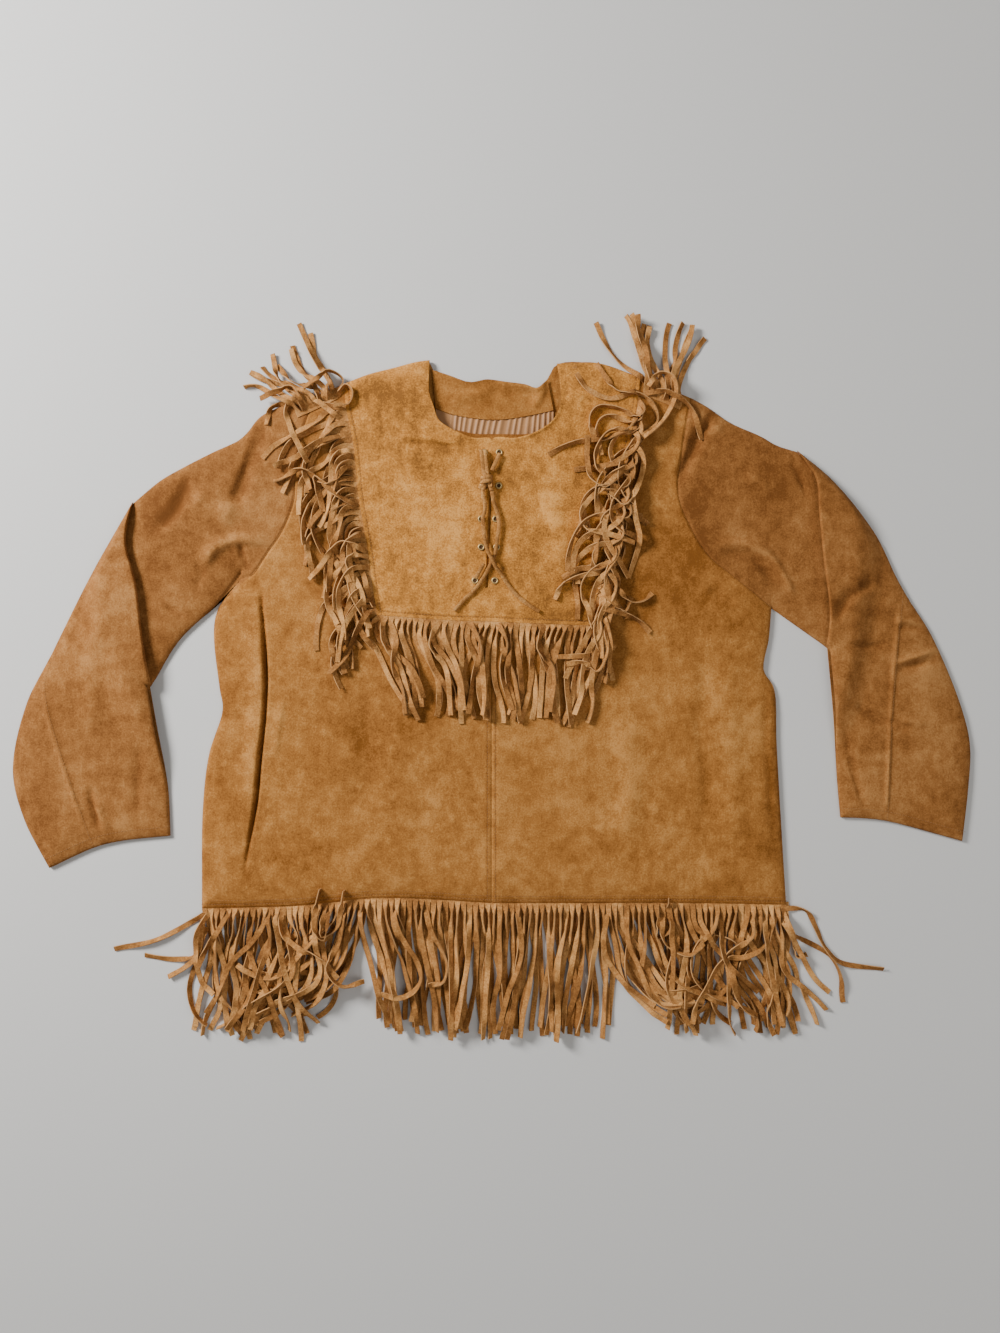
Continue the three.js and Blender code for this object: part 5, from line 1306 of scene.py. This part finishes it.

# Strands given one by one on top of the others, from root to tip. Columns: x, y
LOOSE_STRANDS = {
    "hem_fringe_front": [
        [[-328, -274], [-362, -294], [-389, -306], [-433, -315]],
        [[-326, -290], [-340, -322], [-362, -327], [-398, -322]],
        [[-330, -280], [-336, -320], [-352, -336], [-371, -347]],
        [[-259, -274], [-259, -283], [-274, -306], [-298, -330], [-309, -359], [-327, -388]],
        [[-248, -274], [-239, -317], [-233, -338], [-218, -374], [-198, -399]],
        [[-256, -272], [-252, -305], [-259, -327], [-269, -362], [-283, -406]],
        [[-240, -270], [-239, -294], [-216, -312], [-198, -318], [-174, -344]],
        [[-168, -268], [-174, -305], [-186, -333], [-168, -353], [-145, -350]],
        [[-322, -272], [-334, -290], [-336, -332], [-330, -353], [-316, -364]],
        [[-300, -272], [-310, -291], [-324, -310], [-333, -332]],
        [[-186, -268], [-190, -300], [-200, -288], [-200, -264], [-195, -244]],
        [[-190, -270], [-192, -296], [-176, -288], [-172, -266], [-168, -246]],
        [[-112, -266], [-104, -295], [-87, -324], [-81, -350], [-98, -365], [-125, -362]],
        [[-76, -266], [-69, -292], [-51, -330], [-55, -350], [-72, -353]],
        [[-150, -266], [-145, -309], [-131, -353], [-116, -400]],
        [[30, -270], [34, -320], [20, -360], [8, -404]],
        [[132, -270], [129, -316], [144, -344], [165, -364], [186, -377]],
        [[194, -272], [188, -299], [203, -291], [202, -256]],
        [[196, -274], [194, -296], [200, -308], [224, -317], [241, -305]],
        [[297, -274], [297, -297], [274, -312], [262, -327], [247, -350], [233, -370], [227, -394]],
        [[206, -274], [205, -300], [206, -320], [203, -364]],
        [[320, -274], [320, -285], [314, -306], [286, -321], [268, -321]],
        [[262, -276], [262, -310], [265, -324], [288, -347], [306, -364]],
        [[311, -276], [314, -316], [320, -350], [332, -400]],
        [[334, -272], [347, -309], [350, -324], [362, -321]],
        [[332, -280], [352, -316], [372, -350], [388, -365]],
        [[336, -268], [361, -271], [373, -292], [382, -312], [400, -330], [450, -338]],
    ],
    "bib_fringe_left": [
        [[-168, 272], [-197, 262], [-222, 246], [-240, 240], [-247, 236]],
        [[-160, 240], [-186, 216], [-214, 232], [-240, 222], [-248, 220]],
        [[-166, 300], [-190, 308], [-231, 311], [-251, 306], [-257, 285]],
        [[-170, 290], [-214, 318], [-234, 306], [-229, 282], [-216, 256], [-208, 240]],
        [[-150, 190], [-176, 204], [-200, 224], [-194, 200], [-190, 184]],
        [[-142, 140], [-170, 150], [-190, 128], [-207, 108]],
        [[-146, 160], [-164, 150], [-168, 128], [-160, 104]],
        [[-136, 76], [-152, 50], [-166, 20], [-184, 2]],
        [[-140, 90], [-162, 62], [-170, 40], [-174, 14]],
    ],
    "bib_fringe_bottom": [
        [[-128, 66], [-142, 50], [-130, 27], [-112, -11], [-90, -44]],
        [[-122, 64], [-124, 40], [-104, 10], [-92, -30], [-83, -52]],
        [[-116, 62], [-108, 40], [-112, 10], [-100, -20], [-98, -44]],
        [[-24, 60], [-12, 30], [-20, 0], [-26, -44]],
        [[8, 58], [18, 34], [10, 10], [24, -40]],
        [[-60, 60], [-70, 34], [-52, 8], [-46, -46]],
        [[60, 56], [52, 30], [70, 6], [66, -42]],
    ],
    "bib_fringe_right": [
        [[158, 280], [130, 268], [110, 266], [96, 264], [82, 259], [65, 250]],
        [[152, 240], [125, 236], [94, 233]],
        [[146, 226], [128, 212], [113, 222], [109, 243], [109, 271]],
        [[150, 236], [133, 217], [111, 198], [101, 182], [107, 166], [133, 159], [162, 149]],
        [[140, 176], [116, 180], [98, 165], [88, 139], [86, 117]],
        [[158, 214], [162, 182], [168, 153], [156, 110]],
        [[132, 190], [128, 160], [156, 110]],
        [[136, 133], [123, 120], [101, 120], [80, 110]],
        [[128, 116], [104, 112], [82, 104], [72, 85]],
        [[124, 94], [146, 75], [152, 72], [159, 88]],
        [[140, 100], [159, 83], [175, 85], [183, 93]],
        [[118, 76], [156, 67], [168, 61], [181, 48]],
        [[126, 70], [134, 40], [133, 2]],
        [[124, 60], [130, 27], [120, 4], [104, 14], [85, 12]],
        [[116, 22], [98, 21], [75, 20]],
        [[166, 296], [156, 280], [133, 276], [122, 262], [118, 238], [128, 226]],
        [[160, 262], [172, 246], [166, 214], [150, 192], [134, 206]],
    ],
    "shoulder_fringe_right": [
        [[175, 335], [156, 350], [140, 366], [130, 382], [120, 404]],
        [[165, 267], [178, 275], [188, 287], [188, 298], [178, 314], [165, 320], [133, 314], [107, 327], [94, 351]],
        [[170, 321], [143, 323], [132, 336], [120, 355]],
        [[167, 266], [185, 278], [201, 298], [210, 323], [204, 339], [191, 343], [178, 327]],
        [[175, 320], [194, 322], [213, 314], [227, 304], [236, 282], [240, 268]],
    ],
    "shoulder_fringe_left": [
        [[-190, 313], [-186, 338], [-200, 356], [-211, 380], [-221, 403]],
        [[-212, 300], [-226, 326], [-243, 322], [-264, 315]],
        [[-180, 316], [-170, 338], [-186, 346], [-200, 334], [-214, 326]],
        [[-176, 318], [-166, 330], [-158, 322], [-162, 308], [-178, 306]],
    ],
}

fringe_suede = hide_material("fringe suede", (0.155, 0.060, 0.015), (0.36, 0.155, 0.042), (0.60, 0.31, 0.105),
                             cut_edge=(0.50, 0.27, 0.11), sheen=0.05, marks=1.0)


# Shares of a strand's length over which it leaves its edge, falls from there and takes up its disorder
LEAVING, FALL_FROM, FALLING, STRAYING = 0.28, 0.3, 0.7, 0.22
# How much the strands of a comb differ, and how quickly from one to the next
LENGTH_DIFFERS, WIDTH_DIFFERS = (0.05, 5.3), (0.12, 7.7)
TWIST_DIFFERS = {"pace": 3.7, "turns": 3, "seed": 5}


def grown_strand(root, comb, k):
    """Points of one strand from its root, by the way it heads along its length."""
    travel = np.linspace(0, 1, STRAND_POINTS)
    columns = np.array(comb["fall"])
    first, last, disorder = [np.interp((k + 0.5) / comb["count"], columns[:, 0], columns[:, c]) for c in (1, 2, 3)]
    base = comb["leave"] + (first - comb["leave"]) * ease(travel / LEAVING)
    base = base + (last - first) * ease((travel - FALL_FROM) / FALLING)
    way = np.radians(base + disorder * ease(travel / STRAYING) * wander(k, travel, comb["seed"]))
    length = comb["length"] * (1 + LENGTH_DIFFERS[0] * math.sin(LENGTH_DIFFERS[1] * k + comb["seed"]))
    steps = np.column_stack([np.cos(way), np.sin(way)]) * length / (STRAND_POINTS - 1)
    return np.array(root) + np.vstack([[0, 0], np.cumsum(steps[:-1], axis=0)])


for name, comb in COMBS.items():
    count = comb["count"]
    edge = along((np.array(comb["edge"]) + comb["shift"]).tolist(), np.linspace(0, 1, 2 * count + 1))
    root_z = comb["root_z"]
    edge_z = np.full(len(edge), root_z) if root_z else front_z(*edge.T) + WALL / 2 + STRAND_THICK / 2 + CLEARANCE
    runs = [(np.column_stack([edge, edge_z]), 0, STRIP_SCALE)]
    order = np.random.default_rng(comb["seed"]).permutation(count)
    for k in order:
        line = grown_strand(edge[2 * k + 1], comb, k)
        twist = comb["twist"] * uneven(
            k * TWIST_DIFFERS["pace"] + 0 * line[:, 0], np.linspace(0, TWIST_DIFFERS["turns"], len(line)), 1,
            comb["seed"] + TWIST_DIFFERS["seed"])
        rolls = rolled(line, twist, comb["edge_on"])
        z = lay_down(line, rolls, edge_z[2 * k + 1])
        runs.append((np.column_stack([line, z]), rolls,
                     1 + WIDTH_DIFFERS[0] * math.sin(WIDTH_DIFFERS[1] * k)))
    for route in LOOSE_STRANDS.get(name, []):
        line = along(route, max(LOOSE["fewest"], round(run_length(route) / LOOSE["step"])))
        rolls = rolled(line, LOOSE["twist"] * np.sin(np.linspace(0, LOOSE["twist_turns"], len(line)) + route[0][0]))
        standing = ease((line[:, 1] - comb.get("tips_stand_above", math.inf)) / LOOSE["tip_stands_over"])
        rolls = mix(rolls, MOST_ROLL, standing)
        nearest_root = np.argmin(np.linalg.norm(edge - line[0], axis=1))
        z = lay_down(line, rolls, edge_z[nearest_root])
        runs.append((np.column_stack([line, z]), rolls, 1))
    piece = strips(name + "_strands", runs, STRAND_WIDTH, STRAND_THICK, STRAND_SIDES, fringe_suede, TONE_SPREAD)
    fitted(piece, "fringe", name)
